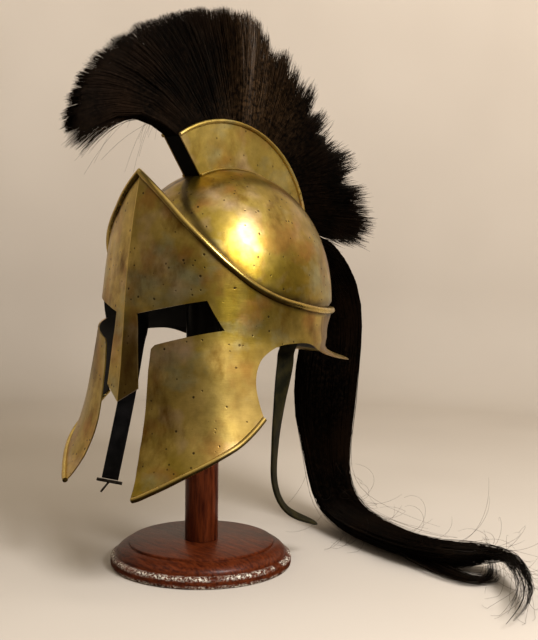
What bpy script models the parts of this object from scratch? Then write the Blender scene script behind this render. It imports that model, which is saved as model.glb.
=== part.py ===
"""Brass helmet of the Corinthian kind, with a horsehair crest and tail, on a turned wooden stand.

Metres, +Z up. The helmet faces -Y and its left side is +X. The origin is the centre of the
underside of the stand's base.
"""
import math

import bmesh
import bpy
from mathutils import Matrix, Vector

# Driving sizes, in metres
GAP = 0.0003                  # clearance between pieces that meet
SHEET = 0.0014                # thickness of the brass sheet

HEAD_MIDDLE_Y = 0.026         # the widest place of the head, behind the post's axis
BROW_HALF_WIDTH = 0.1035      # half width of the face mask at the temples
FRONT_REACH = 0.118           # from the middle of the head to the brow
REAR_REACH = 0.1120           # from the middle of the head to the nape
CHEEK_TIP_Z = 0.090           # lowest tips of the cheek plates
PEAK_Z = 0.384                # point of the brow
NAPE_FILLET_Z = 0.2515        # rolled fillet at the nape
REAR_FULLNESS = 2.0           # exponent of the rounded plan behind the middle
FLANGE_REACH = 0.027          # how far the neck flange stands out from the neck
KEEL_DEPTH = 0.006            # how far the ridge of the nasal stands forward
KEEL_HALF_WIDTH = 0.040       # how far the ridge's two flats reach to each side
FILLET_RADIUS = 0.0027
FILLET_WRAP = 1.5             # depth of the sheet's edge inside the fillet, in sheets
CHEEK_BEAD_RADIUS = 0.0023

SKULL_TOP_Z = 0.391
SKULL_SPRING_Z = 0.255        # the dome starts to curve in here
SKULL_SIDE_CLEARANCE = 0.0024   # between the dome and the inside of the mask
SKULL_REAR_CLEARANCE = 0.0015
SKULL_FULLNESS = 2.2          # exponent of the dome's profile
SKULL_SKIRT = 0.030           # the dome's skin runs on this far below its spring, to be trimmed
SKULL_SWELL = 0.0042          # how far the dome swells out over the fillet at the nape
SWELL_SPREAD = 0.7            # the swell is full from this share of the way back
SWELL_RISE = 0.006            # the height above the fillet in which the swell grows
SWELL_RING = 0.999            # share of the half width at the ring where it is full

CREST_MIDDLE_Y = 0.017        # centre of the crest box's arc
CREST_MIDDLE_Z = 0.327
PLATE_ARC_RADIUS = 0.1105
CREST_FIRST = 122.0           # angles where the crest box begins and ends on its arc
CREST_LAST = 5.0
CREST_REAR_SHARE = 0.80       # the box's rear end runs in to this share of the arc's radius
CREST_FRONT_FOOT = (-0.021, 0.039)  # lower corners of the box, hidden by the dome, from the
CREST_HEART = (0.038, -0.007)       # arc's centre
BLOCK_SINK = 0.002            # the block's top lies this far below the plates' rims
BLOCK_HALF_WIDTH = 0.011
LIP_RADIUS = 0.0020
LIP_WRAP = 0.3                # share of the lip's radius that it lies inside the plate's rim
FAN_REACH = 0.200             # usual distance of the hair's tips from the arc's centre
FAN_TIP_HALF = 0.014          # half thickness of the fan near its tips
NOTCH_THINNING = 0.22         # share of the thickness lost between two locks
NOTCH_START = 0.1             # share of a lock's length with no notch beside it

TAIL_SIDE_REACH = 0.300       # how far to the left the tail's tip lies
TAIL_HALF_WIDTH = 0.042
TAIL_RIDGES = 5
TAIL_RIDGE_DEPTH = 0.10       # share of the width by which the locks stand out
TAIL_TWIST = 1.2              # radians that the locks wind round the tail

STAND_RADIUS = 0.090
STAND_BASE_HEIGHT = 0.0235
POST_RADIUS = 0.0165
CAP_RADIUS = 0.040
CAP_HEIGHT = 0.030
CAP_ALLOWANCE = 0.010         # the cap starts this much too tall, and the dome's inside trims it

STRAP_THICKNESS = 0.0022
STRAP_SEAT_GAP = 0.0008       # behind a strap's flat back on the mask's curved inside
STRAP_END_SHARE = 0.72        # width of a strap's free end
LEFT_STRAP_WIDTH = 0.018
RIGHT_STRAP_WIDTH = 0.017
BUCKLE_BAR_LENGTH = 0.026
BUCKLE_BAR_RADIUS = 0.0017
BUCKLE_PRONG_RADIUS = 0.0011
BUCKLE_PRONG_LENGTH = 0.012
PRONG_LEAN = 0.25             # share of the bar's length by which the prong leans over

CUT_DEPTH = 0.060             # how far the trimming shapes run past what they trim
MERGE = 0.00001

# Counts of faces
FRONT_COLUMNS = 17            # of the mask, from its ridge to its widest place
REAR_COLUMNS = 12             # of the mask, from its widest place to the nape
BAND_ROWS = 4                 # of the mask, from the fillet to the band's foot
DOME_STEPS = 40
DOME_RINGS = 10
TURNED_STEPS = 40
CREST_ARC_STEPS = 20
LOCKS = 24                    # ridges of the horsehair fan
TAIL_STEPS = 32
TAIL_SIDES = 14
STRAP_STEPS = 16
RIM_STEPS = 16
CHEEK_FOOT_STEPS = 18
ARCH_STEPS = 24
ROUND_SIDES = 32
PLAN_SAMPLES = 240            # used to space the mask's columns evenly

# Face mask, from the cheek tips up to the peak.
# height: share of the way from CHEEK_TIP_Z to PEAK_Z
# reach: share of FRONT_REACH, width: share of BROW_HALF_WIDTH, fullness: exponent of the plan
#   height reach  width  fullness
FACE_SECTIONS = (
    (-0.05, 1.360, 1.450, 2.80),
    (0.000, 1.314, 1.440, 2.80),
    (0.034, 1.254, 1.420, 2.80),
    (0.068, 1.203, 1.395, 2.80),
    (0.119, 1.145, 1.335, 2.80),
    (0.180, 1.090, 1.265, 2.80),
    (0.255, 1.052, 1.193, 2.80),
    (0.323, 1.030, 1.143, 2.80),
    (0.391, 1.014, 1.092, 2.80),
    (0.463, 1.000, 1.036, 2.80),
    (0.510, 0.988, 1.015, 2.80),
    (0.605, 0.970, 1.005, 2.65),
    (0.721, 0.941, 1.005, 2.50),
    (0.861, 0.890, 1.000, 2.35),
    (1.000, 0.830, 0.995, 2.30),
)

# Neck, from its flange up to the fillet.
# height: share of the way from CHEEK_TIP_Z to PEAK_Z
# reach: share of REAR_REACH, width: share of the mask's own half width at NECK_BAND_SHARE
# flare: share of FLANGE_REACH
#   height reach  width  flare
NECK_SECTIONS = (
    (0.370, 0.880, 0.960, 1.250),
    (0.386, 0.880, 0.962, 1.000),
    (0.398, 0.880, 0.964, 0.640),
    (0.412, 0.880, 0.966, 0.300),
    (0.430, 0.883, 0.972, 0.060),
    (0.450, 0.890, 0.992, 0.000),
    (0.463, 0.897, 1.000, 0.000),
    (0.497, 0.925, 1.000, 0.000),
    (0.520, 0.960, 1.000, 0.000),
    (0.540, 0.995, 1.000, 0.000),
    (0.555, 1.000, 1.000, 0.000),
    (1.000, 1.000, 1.000, 0.000),
)
NECK_BAND_SHARE = 0.463
FLARE_FIRST = 16.0            # plan angles, behind the widest place, where the flange begins
FLARE_LAST = 40.0             # and where it is full, in degrees

# Rows of the mask below its band, as shares of the height, at the cheeks and at the neck
#   cheeks neck
LOW_ROWS = (
    (0.391, 0.450),
    (0.323, 0.438),
    (0.255, 0.427),
    (0.205, 0.418),
    (0.160, 0.410),
    (0.119, 0.402),
    (0.080, 0.394),
    (0.040, 0.386),
    (-0.02, 0.374),
)

# Rolled fillet, from the peak to the nape.
# arc: distance along the plan of the mask as a share of FRONT_REACH
# drop: share of the fall from PEAK_Z to NAPE_FILLET_Z
#   arc    drop
FILLET_LINE = (
    (0.000, 0.000),
    (0.144, 0.081),
    (0.297, 0.185),
    (0.458, 0.312),
    (0.636, 0.454),
    (0.864, 0.630),
    (1.119, 0.788),
    (1.415, 0.900),
    (1.737, 0.962),
    (2.119, 0.988),
    (3.100, 1.000),
)

# Opening for the eyes and mouth, seen from the front, right half, from the nasal's tip round.
# across: share of BROW_HALF_WIDTH, height: share from CHEEK_TIP_Z to PEAK_Z
#   across height
FACE_OPENING = (
    (0.000, 0.276),
    (0.227, 0.323),
    (0.150, 0.556),
    (0.770, 0.604),
    (0.884, 0.514),
    (0.375, 0.463),
    (0.340, 0.450),
    (0.329, 0.384),
    (0.338, 0.293),
    (0.348, 0.201),
    (0.367, 0.143),
    (0.406, 0.085),
    (0.493, 0.005),
    (0.560, -0.05),
    (0.560, -0.15),
)

# Lower outline of the mask, seen from the side.
# along: distance behind HEAD_MIDDLE_Y as a share of FRONT_REACH, height as above
#   along  height
CHEEK_FOOT_LINE = (
    (-1.347, -0.030),
    (-1.280, 0.005),
    (-1.203, 0.032),
    (-1.066, 0.079),
    (-0.958, 0.110),
    (-0.833, 0.1415),
    (-0.685, 0.1765),
    (-0.550, 0.2165),
    (-0.460, 0.2465),
)
ARCH_LINE = (
    (-0.460, 0.2465),
    (-0.479, 0.298),
    (-0.479, 0.350),
    (-0.440, 0.398),
    (-0.360, 0.433),
    (-0.200, 0.460),
    (0.017, 0.464),
    (0.160, 0.457),
    (0.300, 0.436),
    (0.458, 0.411),
    (0.627, 0.394),
    (0.850, 0.387),
    (1.600, 0.385),
)

# Rim of the dome inside the mask, seen from the side, in the same shares
RIM_LINE = (
    (-1.100, 0.660),
    (-0.700, 0.640),
    (-0.220, 0.590),
    (0.250, 0.558),
    (0.700, 0.545),
    (1.200, 0.540),
)

# Horsehair fan, from its front to its rear.
# root: angle of the hair's root on the crest's arc, tip: angle of its tip, in degrees
# reach: share of FAN_REACH; rise: how far the lock bows up on its way, in the same shares
# ragged: how far the gaps between locks cut in, in the same shares
#   root   tip    reach  rise   ragged
FAN_LINE = (
    (122.0, 152.5, 0.960, 0.100, 0.015),
    (119.0, 148.0, 1.010, 0.080, 0.015),
    (114.0, 139.0, 1.045, 0.050, 0.015),
    (107.0, 127.0, 1.065, 0.030, 0.015),
    (97.0, 112.0, 1.070, 0.015, 0.015),
    (87.0, 98.0, 1.085, 0.000, 0.015),
    (77.0, 84.0, 1.105, 0.000, 0.020),
    (70.0, 76.0, 1.090, 0.000, 0.035),
    (60.0, 64.0, 1.050, 0.000, 0.050),
    (50.0, 51.0, 1.015, 0.000, 0.055),
    (40.0, 37.0, 0.995, 0.000, 0.055),
    (30.0, 24.0, 1.060, 0.000, 0.060),
    (20.0, 13.0, 1.095, 0.000, 0.065),
    (12.0, 4.0, 1.145, 0.000, 0.065),
    (7.0, -1.5, 1.050, 0.000, 0.050),
)
# Thickness of the fan on the way from root to tip, as a share of FAN_TIP_HALF
#   way    half
FAN_PROFILE = (
    (0.000, 0.740),
    (0.080, 0.740),
    (0.300, 0.950),
    (0.650, 1.000),
    (0.930, 0.850),
    (1.000, 0.450),
)

# Horsehair tail, from its root behind the crest to its tip on the table.
# side: share of TAIL_SIDE_REACH; back: distance behind HEAD_MIDDLE_Y as a share of REAR_REACH
# and FLANGE_REACH together; height: share of CREST_MIDDLE_Z
# width, depth: half sizes of the bundle as shares of TAIL_HALF_WIDTH
#   side    back   height width  depth
TAIL_ROUTE = (
    (0.000, 0.825, 0.972, 0.330, 0.220),
    (0.000, 0.990, 0.920, 0.600, 0.400),
    (-0.017, 1.151, 0.829, 0.810, 0.570),
    (-0.037, 1.230, 0.734, 0.950, 0.680),
    (-0.053, 1.252, 0.627, 1.000, 0.720),
    (-0.067, 1.245, 0.514, 1.020, 0.740),
    (-0.073, 1.250, 0.398, 0.960, 0.700),
    (-0.070, 1.262, 0.281, 0.780, 0.570),
    (-0.054, 1.258, 0.183, 0.660, 0.480),
    (-0.010, 1.240, 0.107, 0.640, 0.450),
    (0.064, 1.210, 0.064, 0.660, 0.400),
    (0.152, 1.155, 0.049, 0.680, 0.365),
    (0.258, 1.105, 0.042, 0.720, 0.322),
    (0.403, 1.037, 0.040, 0.740, 0.300),
    (0.521, 1.034, 0.040, 0.820, 0.290),
    (0.614, 1.039, 0.044, 0.840, 0.310),
    (0.674, 1.082, 0.052, 0.660, 0.320),
    (0.736, 1.118, 0.063, 0.440, 0.260),
    (0.808, 1.072, 0.069, 0.330, 0.205),
    (0.884, 0.950, 0.066, 0.270, 0.165),
    (0.963, 0.779, 0.054, 0.220, 0.140),
    (1.010, 0.615, 0.038, 0.190, 0.125),
    (1.037, 0.444, 0.026, 0.150, 0.110),
    (1.053, 0.299, 0.015, 0.071, 0.071),
)

# Straps, from their seats on the mask's inside down to their free ends.
# side: share of BROW_HALF_WIDTH, or SEATED, where the strap lies flat on the mask's inside
# back: distance behind HEAD_MIDDLE_Y as a share of FRONT_REACH
# height: share of the way from CHEEK_TIP_Z to PEAK_Z
# turn: angle of the strap's width in plan, in degrees, which a seated row works out itself
SEATED = 0.0
#   side   back    height  turn
LEFT_STRAP_ROUTE = (
    (SEATED, 0.085, 0.560, 0.0),
    (SEATED, 0.085, 0.530, 0.0),
    (0.945, 0.085, 0.502, 88.0),
    (0.850, 0.085, 0.465, 76.0),
    (0.780, 0.085, 0.425, 68.0),
    (0.764, 0.085, 0.380, 66.0),
    (0.734, 0.059, 0.259, 98.0),
    (0.705, 0.042, 0.126, 116.0),
    (0.686, 0.059, -0.010, 119.0),
    (0.667, 0.220, -0.109, 121.0),
    (0.618, 0.610, -0.187, 124.0),
)
RIGHT_STRAP_ROUTE = (
    (SEATED, -0.200, 0.570, 0.0),
    (SEATED, -0.210, 0.530, 0.0),
    (-0.945, -0.245, 0.495, 82.0),
    (-0.880, -0.310, 0.455, 64.0),
    (-0.831, -0.373, 0.415, 50.0),
    (-0.812, -0.458, 0.275, 50.0),
    (-0.773, -0.568, 0.136, 50.0),
    (-0.725, -0.712, -0.037, 50.0),
)

# Turned base of the stand, from its middle on top down its outer side.
# radius: share of STAND_RADIUS, height: share of STAND_BASE_HEIGHT
#   radius height
BASE_PROFILE = (
    (0.000, 1.000),
    (0.790, 1.000),
    (0.803, 0.960),
    (0.803, 0.890),
    (0.845, 0.850),
    (0.900, 0.740),
    (0.935, 0.590),
    (0.942, 0.480),
    (0.960, 0.450),
    (0.990, 0.410),
    (1.000, 0.330),
    (1.000, 0.110),
    (0.985, 0.000),
    (0.000, 0.000),
)

# Colour, roughness and metallic value of each material
MATERIALS = {
    "brass": ((0.42, 0.30, 0.11, 1.0), 0.32, 1.0),
    "dark_block": ((0.012, 0.012, 0.010, 1.0), 0.70, 0.0),
    "horsehair": ((0.010, 0.009, 0.010, 1.0), 0.55, 0.0),
    "olive_leather": ((0.075, 0.055, 0.020, 1.0), 0.60, 0.0),
    "black_leather": ((0.012, 0.011, 0.010, 1.0), 0.65, 0.0),
    "dark_steel": ((0.10, 0.09, 0.08, 1.0), 0.40, 1.0),
    "mahogany": ((0.14, 0.025, 0.010, 1.0), 0.25, 0.0),
}


def smooth_value(table, key, column):
    """Value of a table's column at a key, on a smooth curve through the table's rows."""
    rows = sorted(table)
    key = min(max(key, rows[0][0]), rows[-1][0])
    index = 0
    while index < len(rows) - 2 and key > rows[index + 1][0]:
        index += 1
    left, right = rows[index], rows[index + 1]
    span = right[0] - left[0]
    step = right[column] - left[column]

    def slope(middle):
        before = rows[max(middle - 1, 0)]
        after = rows[min(middle + 1, len(rows) - 1)]
        return (after[column] - before[column]) / (after[0] - before[0]) * span

    t = (key - left[0]) / span
    first, last = slope(index), slope(index + 1)
    return (left[column] + first * t
            + (3.0 * step - 2.0 * first - last) * t * t
            + (first + last - 2.0 * step) * t * t * t)


def spline_through(points, count):
    """Evenly counted points on a smooth curve through the given points."""
    rows = [(index,) + tuple(point) for index, point in enumerate(points)]
    last = len(points) - 1
    width = len(points[0])
    result = []
    for number in range(count + 1):
        key = last * number / count
        result.append(tuple(smooth_value(rows, key, column + 1) for column in range(width)))
    return result


def height_at(share):
    return CHEEK_TIP_Z + share * (PEAK_Z - CHEEK_TIP_Z)


def share_at(height):
    return (height - CHEEK_TIP_Z) / (PEAK_Z - CHEEK_TIP_Z)


def face_section(height):
    """Reach, half width and fullness of the mask's front at a height."""
    share = share_at(height)
    return (FRONT_REACH * smooth_value(FACE_SECTIONS, share, 1),
            BROW_HALF_WIDTH * smooth_value(FACE_SECTIONS, share, 2),
            smooth_value(FACE_SECTIONS, share, 3))


def neck_section(height):
    """Reach, half width and flare of the mask's rear at a height."""
    share = share_at(height)
    band = max(share, NECK_BAND_SHARE)
    half_width = BROW_HALF_WIDTH * smooth_value(FACE_SECTIONS, band, 2)
    return (REAR_REACH * smooth_value(NECK_SECTIONS, share, 1),
            half_width * smooth_value(NECK_SECTIONS, share, 2),
            FLANGE_REACH * smooth_value(NECK_SECTIONS, share, 3))


def keel(across):
    return KEEL_DEPTH * max(0.0, 1.0 - abs(across) / KEEL_HALF_WIDTH)


def face_point(angle, height):
    """Point of the mask's front at a plan angle from its ridge, 0 to 90 degrees."""
    reach, half_width, fullness = face_section(height)
    power = 2.0 / fullness
    across = half_width * math.sin(angle) ** power
    forward = reach * max(math.cos(angle), 0.0) ** power
    return Vector((across, HEAD_MIDDLE_Y - forward - keel(across), height))


def neck_point(angle, height):
    """Point of the mask's rear at a plan angle from its widest place, 0 to 90 degrees."""
    reach, half_width, flare = neck_section(height)
    first, last = math.radians(FLARE_FIRST), math.radians(FLARE_LAST)
    ramp = min(max((angle - first) / (last - first), 0.0), 1.0)
    flare *= ramp * ramp * (3.0 - 2.0 * ramp)
    power = 2.0 / REAR_FULLNESS
    across = (half_width + flare) * max(math.cos(angle), 0.0) ** power
    back = (reach + flare) * math.sin(angle) ** power
    return Vector((across, HEAD_MIDDLE_Y + back, height))


def half_width_at(along, height):
    """Half width of the mask's outside at a place along Y and a height."""
    if along < HEAD_MIDDLE_Y:
        reach, half_width, fullness = face_section(height)
    else:
        reach, half_width, flare = neck_section(height)
        fullness = REAR_FULLNESS
    share = min(abs(along - HEAD_MIDDLE_Y) / reach, 1.0)
    return half_width * (1.0 - share ** fullness) ** (1.0 / fullness)


def even_angles(point_at, height, count):
    """Angles that divide a quarter of the plan into steps of equal length."""
    angles = [0.5 * math.pi * index / PLAN_SAMPLES for index in range(PLAN_SAMPLES + 1)]
    points = [point_at(angle, height) for angle in angles]
    lengths = [0.0]
    for index in range(PLAN_SAMPLES):
        lengths.append(lengths[-1] + (points[index + 1] - points[index]).length)
    result = []
    for number in range(count + 1):
        target = lengths[-1] * number / count
        index = 0
        while index < PLAN_SAMPLES - 1 and lengths[index + 1] < target:
            index += 1
        part = (target - lengths[index]) / (lengths[index + 1] - lengths[index])
        result.append(angles[index] + part * (angles[index + 1] - angles[index]))
    return result


def mask_columns():
    """Columns of the mask's left half: a function that gives its point, and its fillet height."""
    middle = 0.5 * (PEAK_Z + NAPE_FILLET_Z)
    front = even_angles(face_point, middle, FRONT_COLUMNS)
    rear = even_angles(neck_point, middle, REAR_COLUMNS)
    columns = []
    for angle in front:
        columns.append(("front", angle))
    for angle in rear[1:]:
        columns.append(("rear", angle))
    arc = 0.0
    previous = None
    result = []
    for side, angle in columns:
        point_at = face_point if side == "front" else neck_point
        here = point_at(angle, middle)
        if previous is not None:
            arc += (here - previous).length
        previous = here
        drop = smooth_value(FILLET_LINE, arc / FRONT_REACH, 1)
        top = PEAK_Z - drop * (PEAK_Z - NAPE_FILLET_Z)
        result.append((side, angle, point_at, top))
    return result


def new_collection(name):
    collection = bpy.data.collections.new(name)
    bpy.context.scene.collection.children.link(collection)
    return collection


def material(name):
    """The named Principled material, made once."""
    if name in bpy.data.materials:
        return bpy.data.materials[name]
    colour, roughness, metallic = MATERIALS[name]
    made = bpy.data.materials.new(name)
    made.use_nodes = True
    shader = made.node_tree.nodes["Principled BSDF"]
    shader.inputs["Base Color"].default_value = colour
    shader.inputs["Roughness"].default_value = roughness
    shader.inputs["Metallic"].default_value = metallic
    made.diffuse_color = colour
    return made


def object_from(mesh, name, collection):
    made = bpy.data.objects.new(name, mesh)
    collection.objects.link(made)
    return made


def mesh_object(name, vertices, faces, collection):
    """An object from computed vertices and faces, with its normals made consistent."""
    mesh = bpy.data.meshes.new(name)
    mesh.from_pydata(vertices, [], faces)
    work = bmesh.new()
    work.from_mesh(mesh)
    bmesh.ops.recalc_face_normals(work, faces=work.faces)
    work.to_mesh(mesh)
    work.free()
    return object_from(mesh, name, collection)


def as_mesh(source, collection):
    """The object's evaluated form as a mesh object in place of the object itself."""
    bpy.context.view_layer.update()
    evaluated = source.evaluated_get(bpy.context.evaluated_depsgraph_get())
    mesh = bpy.data.meshes.new_from_object(evaluated)
    mesh.transform(source.matrix_world)
    work = bmesh.new()
    work.from_mesh(mesh)
    bmesh.ops.remove_doubles(work, verts=work.verts, dist=MERGE)
    if all(edge.is_manifold for edge in work.edges):
        bmesh.ops.recalc_face_normals(work, faces=work.faces)
    work.to_mesh(mesh)
    work.free()
    name = source.name
    bpy.data.objects.remove(source)
    return object_from(mesh, name, collection)


def hide_cutter(cutter):
    cutter.hide_render = True
    cutter.display_type = "WIRE"
    return cutter


def add_boolean(target, other, operation):
    modifier = target.modifiers.new("boolean", "BOOLEAN")
    modifier.operation = operation
    modifier.object = other
    modifier.solver = "EXACT"


def tube(name, points, radius, collection, cyclic=False, resolution=2):
    """A round wire through the points, with closed ends."""
    curve = bpy.data.curves.new(name, "CURVE")
    curve.dimensions = "3D"
    curve.bevel_depth = radius
    curve.bevel_resolution = resolution
    curve.use_fill_caps = True
    spline = curve.splines.new("POLY")
    spline.points.add(len(points) - 1)
    for place, point in zip(spline.points, points):
        place.co = (*point, 1.0)
    spline.use_cyclic_u = cyclic
    return as_mesh(object_from(curve, name, collection), collection)


def extruded_outline(name, outline, half_depth, turn, location, collection):
    """A flat outline, extruded to both sides of its plane and turned into place."""
    curve = bpy.data.curves.new(name, "CURVE")
    curve.dimensions = "2D"
    curve.fill_mode = "BOTH"
    curve.extrude = half_depth
    spline = curve.splines.new("POLY")
    spline.points.add(len(outline) - 1)
    for place, (first, second) in zip(spline.points, outline):
        place.co = (first, second, 0.0, 1.0)
    spline.use_cyclic_u = True
    made = object_from(curve, name, collection)
    made.rotation_euler = turn
    made.location = location
    return as_mesh(made, collection)


# Turns that stand a flat outline in the front view (X, Z) and in the side view (Y, Z)
FRONT_VIEW = (0.5 * math.pi, 0.0, 0.0)
SIDE_VIEW = (0.5 * math.pi, 0.0, 0.5 * math.pi)


def turned(name, profile, steps, collection):
    """A profile at +X, from top to bottom, turned round the Z axis."""
    mesh = bpy.data.meshes.new(name)
    vertices = [(radius, 0.0, height) for radius, height in profile]
    edges = [(index, index + 1) for index in range(len(profile) - 1)]
    mesh.from_pydata(vertices, edges, [])
    made = object_from(mesh, name, collection)
    screw = made.modifiers.new("turn", "SCREW")
    screw.steps = steps
    screw.render_steps = steps
    screw.use_merge_vertices = True
    screw.merge_threshold = MERGE
    return made


def smooth_shade(made, degrees=40.0):
    made.data.shade_smooth()
    made.data.set_sharp_from_angle(angle=math.radians(degrees))


def finish(made, material_name, collection):
    """The finished piece: a plain mesh with its material, in the object's collection."""
    made = as_mesh(made, collection)
    made.data.materials.clear()
    made.data.materials.append(material(material_name))
    smooth_shade(made)
    return made


def dome_profile(top):
    """Radius and height from the top of the dome down past its rim, for a unit half width."""
    points = []
    for index in range(DOME_RINGS + 1):
        angle = 0.5 * math.pi * index / DOME_RINGS
        power = 2.0 / SKULL_FULLNESS
        radius = math.sin(angle) ** power
        rise = max(math.cos(angle), 0.0) ** power
        points.append((radius, SKULL_SPRING_Z + rise * (top - SKULL_SPRING_Z)))
    points.insert(-1, (SWELL_RING, swell_foot() + SWELL_RISE))
    points.append((1.0, swell_foot()))
    points.append((1.0, SKULL_SPRING_Z - SKULL_SKIRT))
    return points


def swell_foot():
    """Height where the dome starts to swell, just over the fillet at the nape."""
    return NAPE_FILLET_Z + FILLET_RADIUS + GAP


def swell_at(height):
    """Share of the dome's swell at a height: full over the fillet, and none at the top."""
    low = min(max((height - swell_foot()) / SWELL_RISE, 0.0), 1.0)
    high = min(max((SKULL_TOP_Z - height) / (SKULL_TOP_Z - swell_foot()), 0.0), 1.0)
    return low * high * (2.0 - high)


def dome_object(name, grow, closed, collection):
    """The dome's outer skin, grown by a clearance; closed makes it a solid for cutting."""
    half_width = BROW_HALF_WIDTH - SHEET - SKULL_SIDE_CLEARANCE + grow
    half_length = REAR_REACH - SHEET - SKULL_REAR_CLEARANCE + grow
    profile = dome_profile(SKULL_TOP_Z + grow)
    if closed:
        profile.append((0.0, profile[-1][1]))
    made = as_mesh(turned(name, profile, DOME_STEPS, collection), collection)
    scale = Matrix.Diagonal((half_width, half_length, 1.0, 1.0))
    made.data.transform(scale)
    for vertex in made.data.vertices:
        place = vertex.co
        rear = min(max(place.y / (half_length * SWELL_SPREAD), 0.0), 1.0)
        outward = Vector((place.x, place.y, 0.0)).normalized()
        swell = swell_at(place.z) * rear * rear * (3.0 - 2.0 * rear)
        vertex.co = place + outward * (SKULL_SWELL * swell)
    made.data.transform(Matrix.Translation((0.0, HEAD_MIDDLE_Y, 0.0)))
    return made


def side_line(table):
    """A line of the side view in metres, from its shares."""
    return [(HEAD_MIDDLE_Y + along * FRONT_REACH, height_at(share)) for along, share in table]


def build_skull(parts, cutters):
    skull = dome_object("skull", 0.0, False, parts)
    solidify = skull.modifiers.new("sheet", "SOLIDIFY")
    solidify.thickness = SHEET
    solidify.offset = -1.0
    solidify.use_even_offset = True
    line = spline_through(side_line(RIM_LINE), RIM_STEPS)
    floor = SKULL_SPRING_Z - CUT_DEPTH
    outline = line + [(line[-1][0], floor), (line[0][0], floor)]
    cutter = extruded_outline("skull_rim_cutter", outline, 2.0 * BROW_HALF_WIDTH,
                              SIDE_VIEW, (0.0, 0.0, 0.0), cutters)
    add_boolean(skull, hide_cutter(cutter), "DIFFERENCE")
    return finish(skull, "brass", parts)


def mask_sheet(collection):
    """The open sheet of the mask's left half, mirrored and thickened."""
    columns = mask_columns()
    vertices = []
    for side, angle, point_at, top in columns:
        foot = height_at(NECK_BAND_SHARE)
        heights = [top + (foot - top) * row / BAND_ROWS for row in range(BAND_ROWS + 1)]
        for cheek, neck in LOW_ROWS:
            heights.append(height_at(cheek if side == "front" else neck))
        vertices.extend(point_at(angle, height) for height in heights)
    rows = BAND_ROWS + 1 + len(LOW_ROWS)
    faces = []
    for column in range(len(columns) - 1):
        for row in range(rows - 1):
            corner = column * rows + row
            faces.append((corner, corner + 1, corner + rows + 1, corner + rows))
    for index in range(rows):
        vertices[index].x = 0.0
        vertices[(len(columns) - 1) * rows + index].x = 0.0
    mesh = bpy.data.meshes.new("face_mask")
    mesh.from_pydata(vertices, [], faces)
    made = object_from(mesh, "face_mask", collection)
    mirror = made.modifiers.new("halves", "MIRROR")
    mirror.merge_threshold = MERGE
    solidify = made.modifiers.new("sheet", "SOLIDIFY")
    solidify.thickness = SHEET
    solidify.offset = -1.0
    solidify.use_even_offset = True
    return made


def fillet_points():
    """Centre line of the rolled fillet, all the way round, a little outside the sheet."""
    half = []
    for side, angle, point_at, top in mask_columns():
        half.append(point_at(angle, top))
    line = [Vector((-point.x, point.y, point.z)) for point in reversed(half[1:-1])]
    loop = half + line
    result = []
    for index, point in enumerate(loop):
        before = loop[index - 1]
        after = loop[(index + 1) % len(loop)]
        along = after - before
        outward = Vector((along.y, -along.x, 0.0)).normalized()
        if outward.dot(point - Vector((0.0, HEAD_MIDDLE_Y, point.z))) < 0.0:
            outward = -outward
        result.append(point + outward * (FILLET_RADIUS - FILLET_WRAP * SHEET))
    return result


def cheek_bead_points(side):
    """Centre line of the rolled bead under one cheek plate; side is 1 or -1."""
    line = spline_through(side_line(CHEEK_FOOT_LINE[1:]), CHEEK_FOOT_STEPS)
    return [Vector((side * half_width_at(along, height), along, height))
            for along, height in line]


def face_opening_outline():
    """Outline of the opening for the eyes and mouth, in the front view."""
    right = [(across * BROW_HALF_WIDTH, height_at(share)) for across, share in FACE_OPENING]
    left = [(-across, height) for across, height in reversed(right[1:])]
    return right + left


def lower_outline():
    """Outline of all that is cut away under the mask, in the side view."""
    cheek = spline_through(side_line(CHEEK_FOOT_LINE), CHEEK_FOOT_STEPS)
    arch = spline_through(side_line(ARCH_LINE), ARCH_STEPS)
    floor = CHEEK_TIP_Z - CUT_DEPTH
    return cheek + arch[1:] + [(arch[-1][0], floor), (cheek[0][0], floor)]


def build_face_mask(parts, cutters):
    mask = as_mesh(mask_sheet(parts), parts)
    front = HEAD_MIDDLE_Y - FRONT_REACH
    eyes = extruded_outline("face_opening_cutter", face_opening_outline(), CUT_DEPTH,
                            FRONT_VIEW, (0.0, front, 0.0), cutters)
    foot = extruded_outline("lower_outline_cutter", lower_outline(), 2.0 * BROW_HALF_WIDTH,
                            SIDE_VIEW, (0.0, 0.0, 0.0), cutters)
    add_boolean(mask, hide_cutter(eyes), "DIFFERENCE")
    add_boolean(mask, hide_cutter(foot), "DIFFERENCE")
    mask = as_mesh(mask, parts)
    beads = [tube("fillet_bead", fillet_points(), FILLET_RADIUS, cutters, cyclic=True)]
    for side, name in ((1, "left_cheek_bead"), (-1, "right_cheek_bead")):
        beads.append(tube(name, cheek_bead_points(side), CHEEK_BEAD_RADIUS, cutters))
    for bead in beads:
        add_boolean(mask, hide_cutter(bead), "UNION")
    return finish(mask, "brass", parts)


def crest_arc(radius, first, last, count):
    """Points of the crest's arc in the side view, from the front to the rear, in degrees."""
    points = []
    for index in range(count + 1):
        angle = math.radians(first + (last - first) * index / count)
        points.append((CREST_MIDDLE_Y + radius * math.cos(angle),
                       CREST_MIDDLE_Z + radius * math.sin(angle)))
    return points


def crest_outline(radius):
    """Outline of the crest box in the side view; the dome trims its underside."""
    arc = crest_arc(radius, CREST_FIRST, CREST_LAST, CREST_ARC_STEPS)
    rear = crest_arc(CREST_REAR_SHARE * radius, CREST_LAST, CREST_LAST, 1)[0]
    inner = [(CREST_MIDDLE_Y + along, CREST_MIDDLE_Z + height)
             for along, height in (CREST_HEART, CREST_FRONT_FOOT)]
    return arc + [rear] + inner


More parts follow.
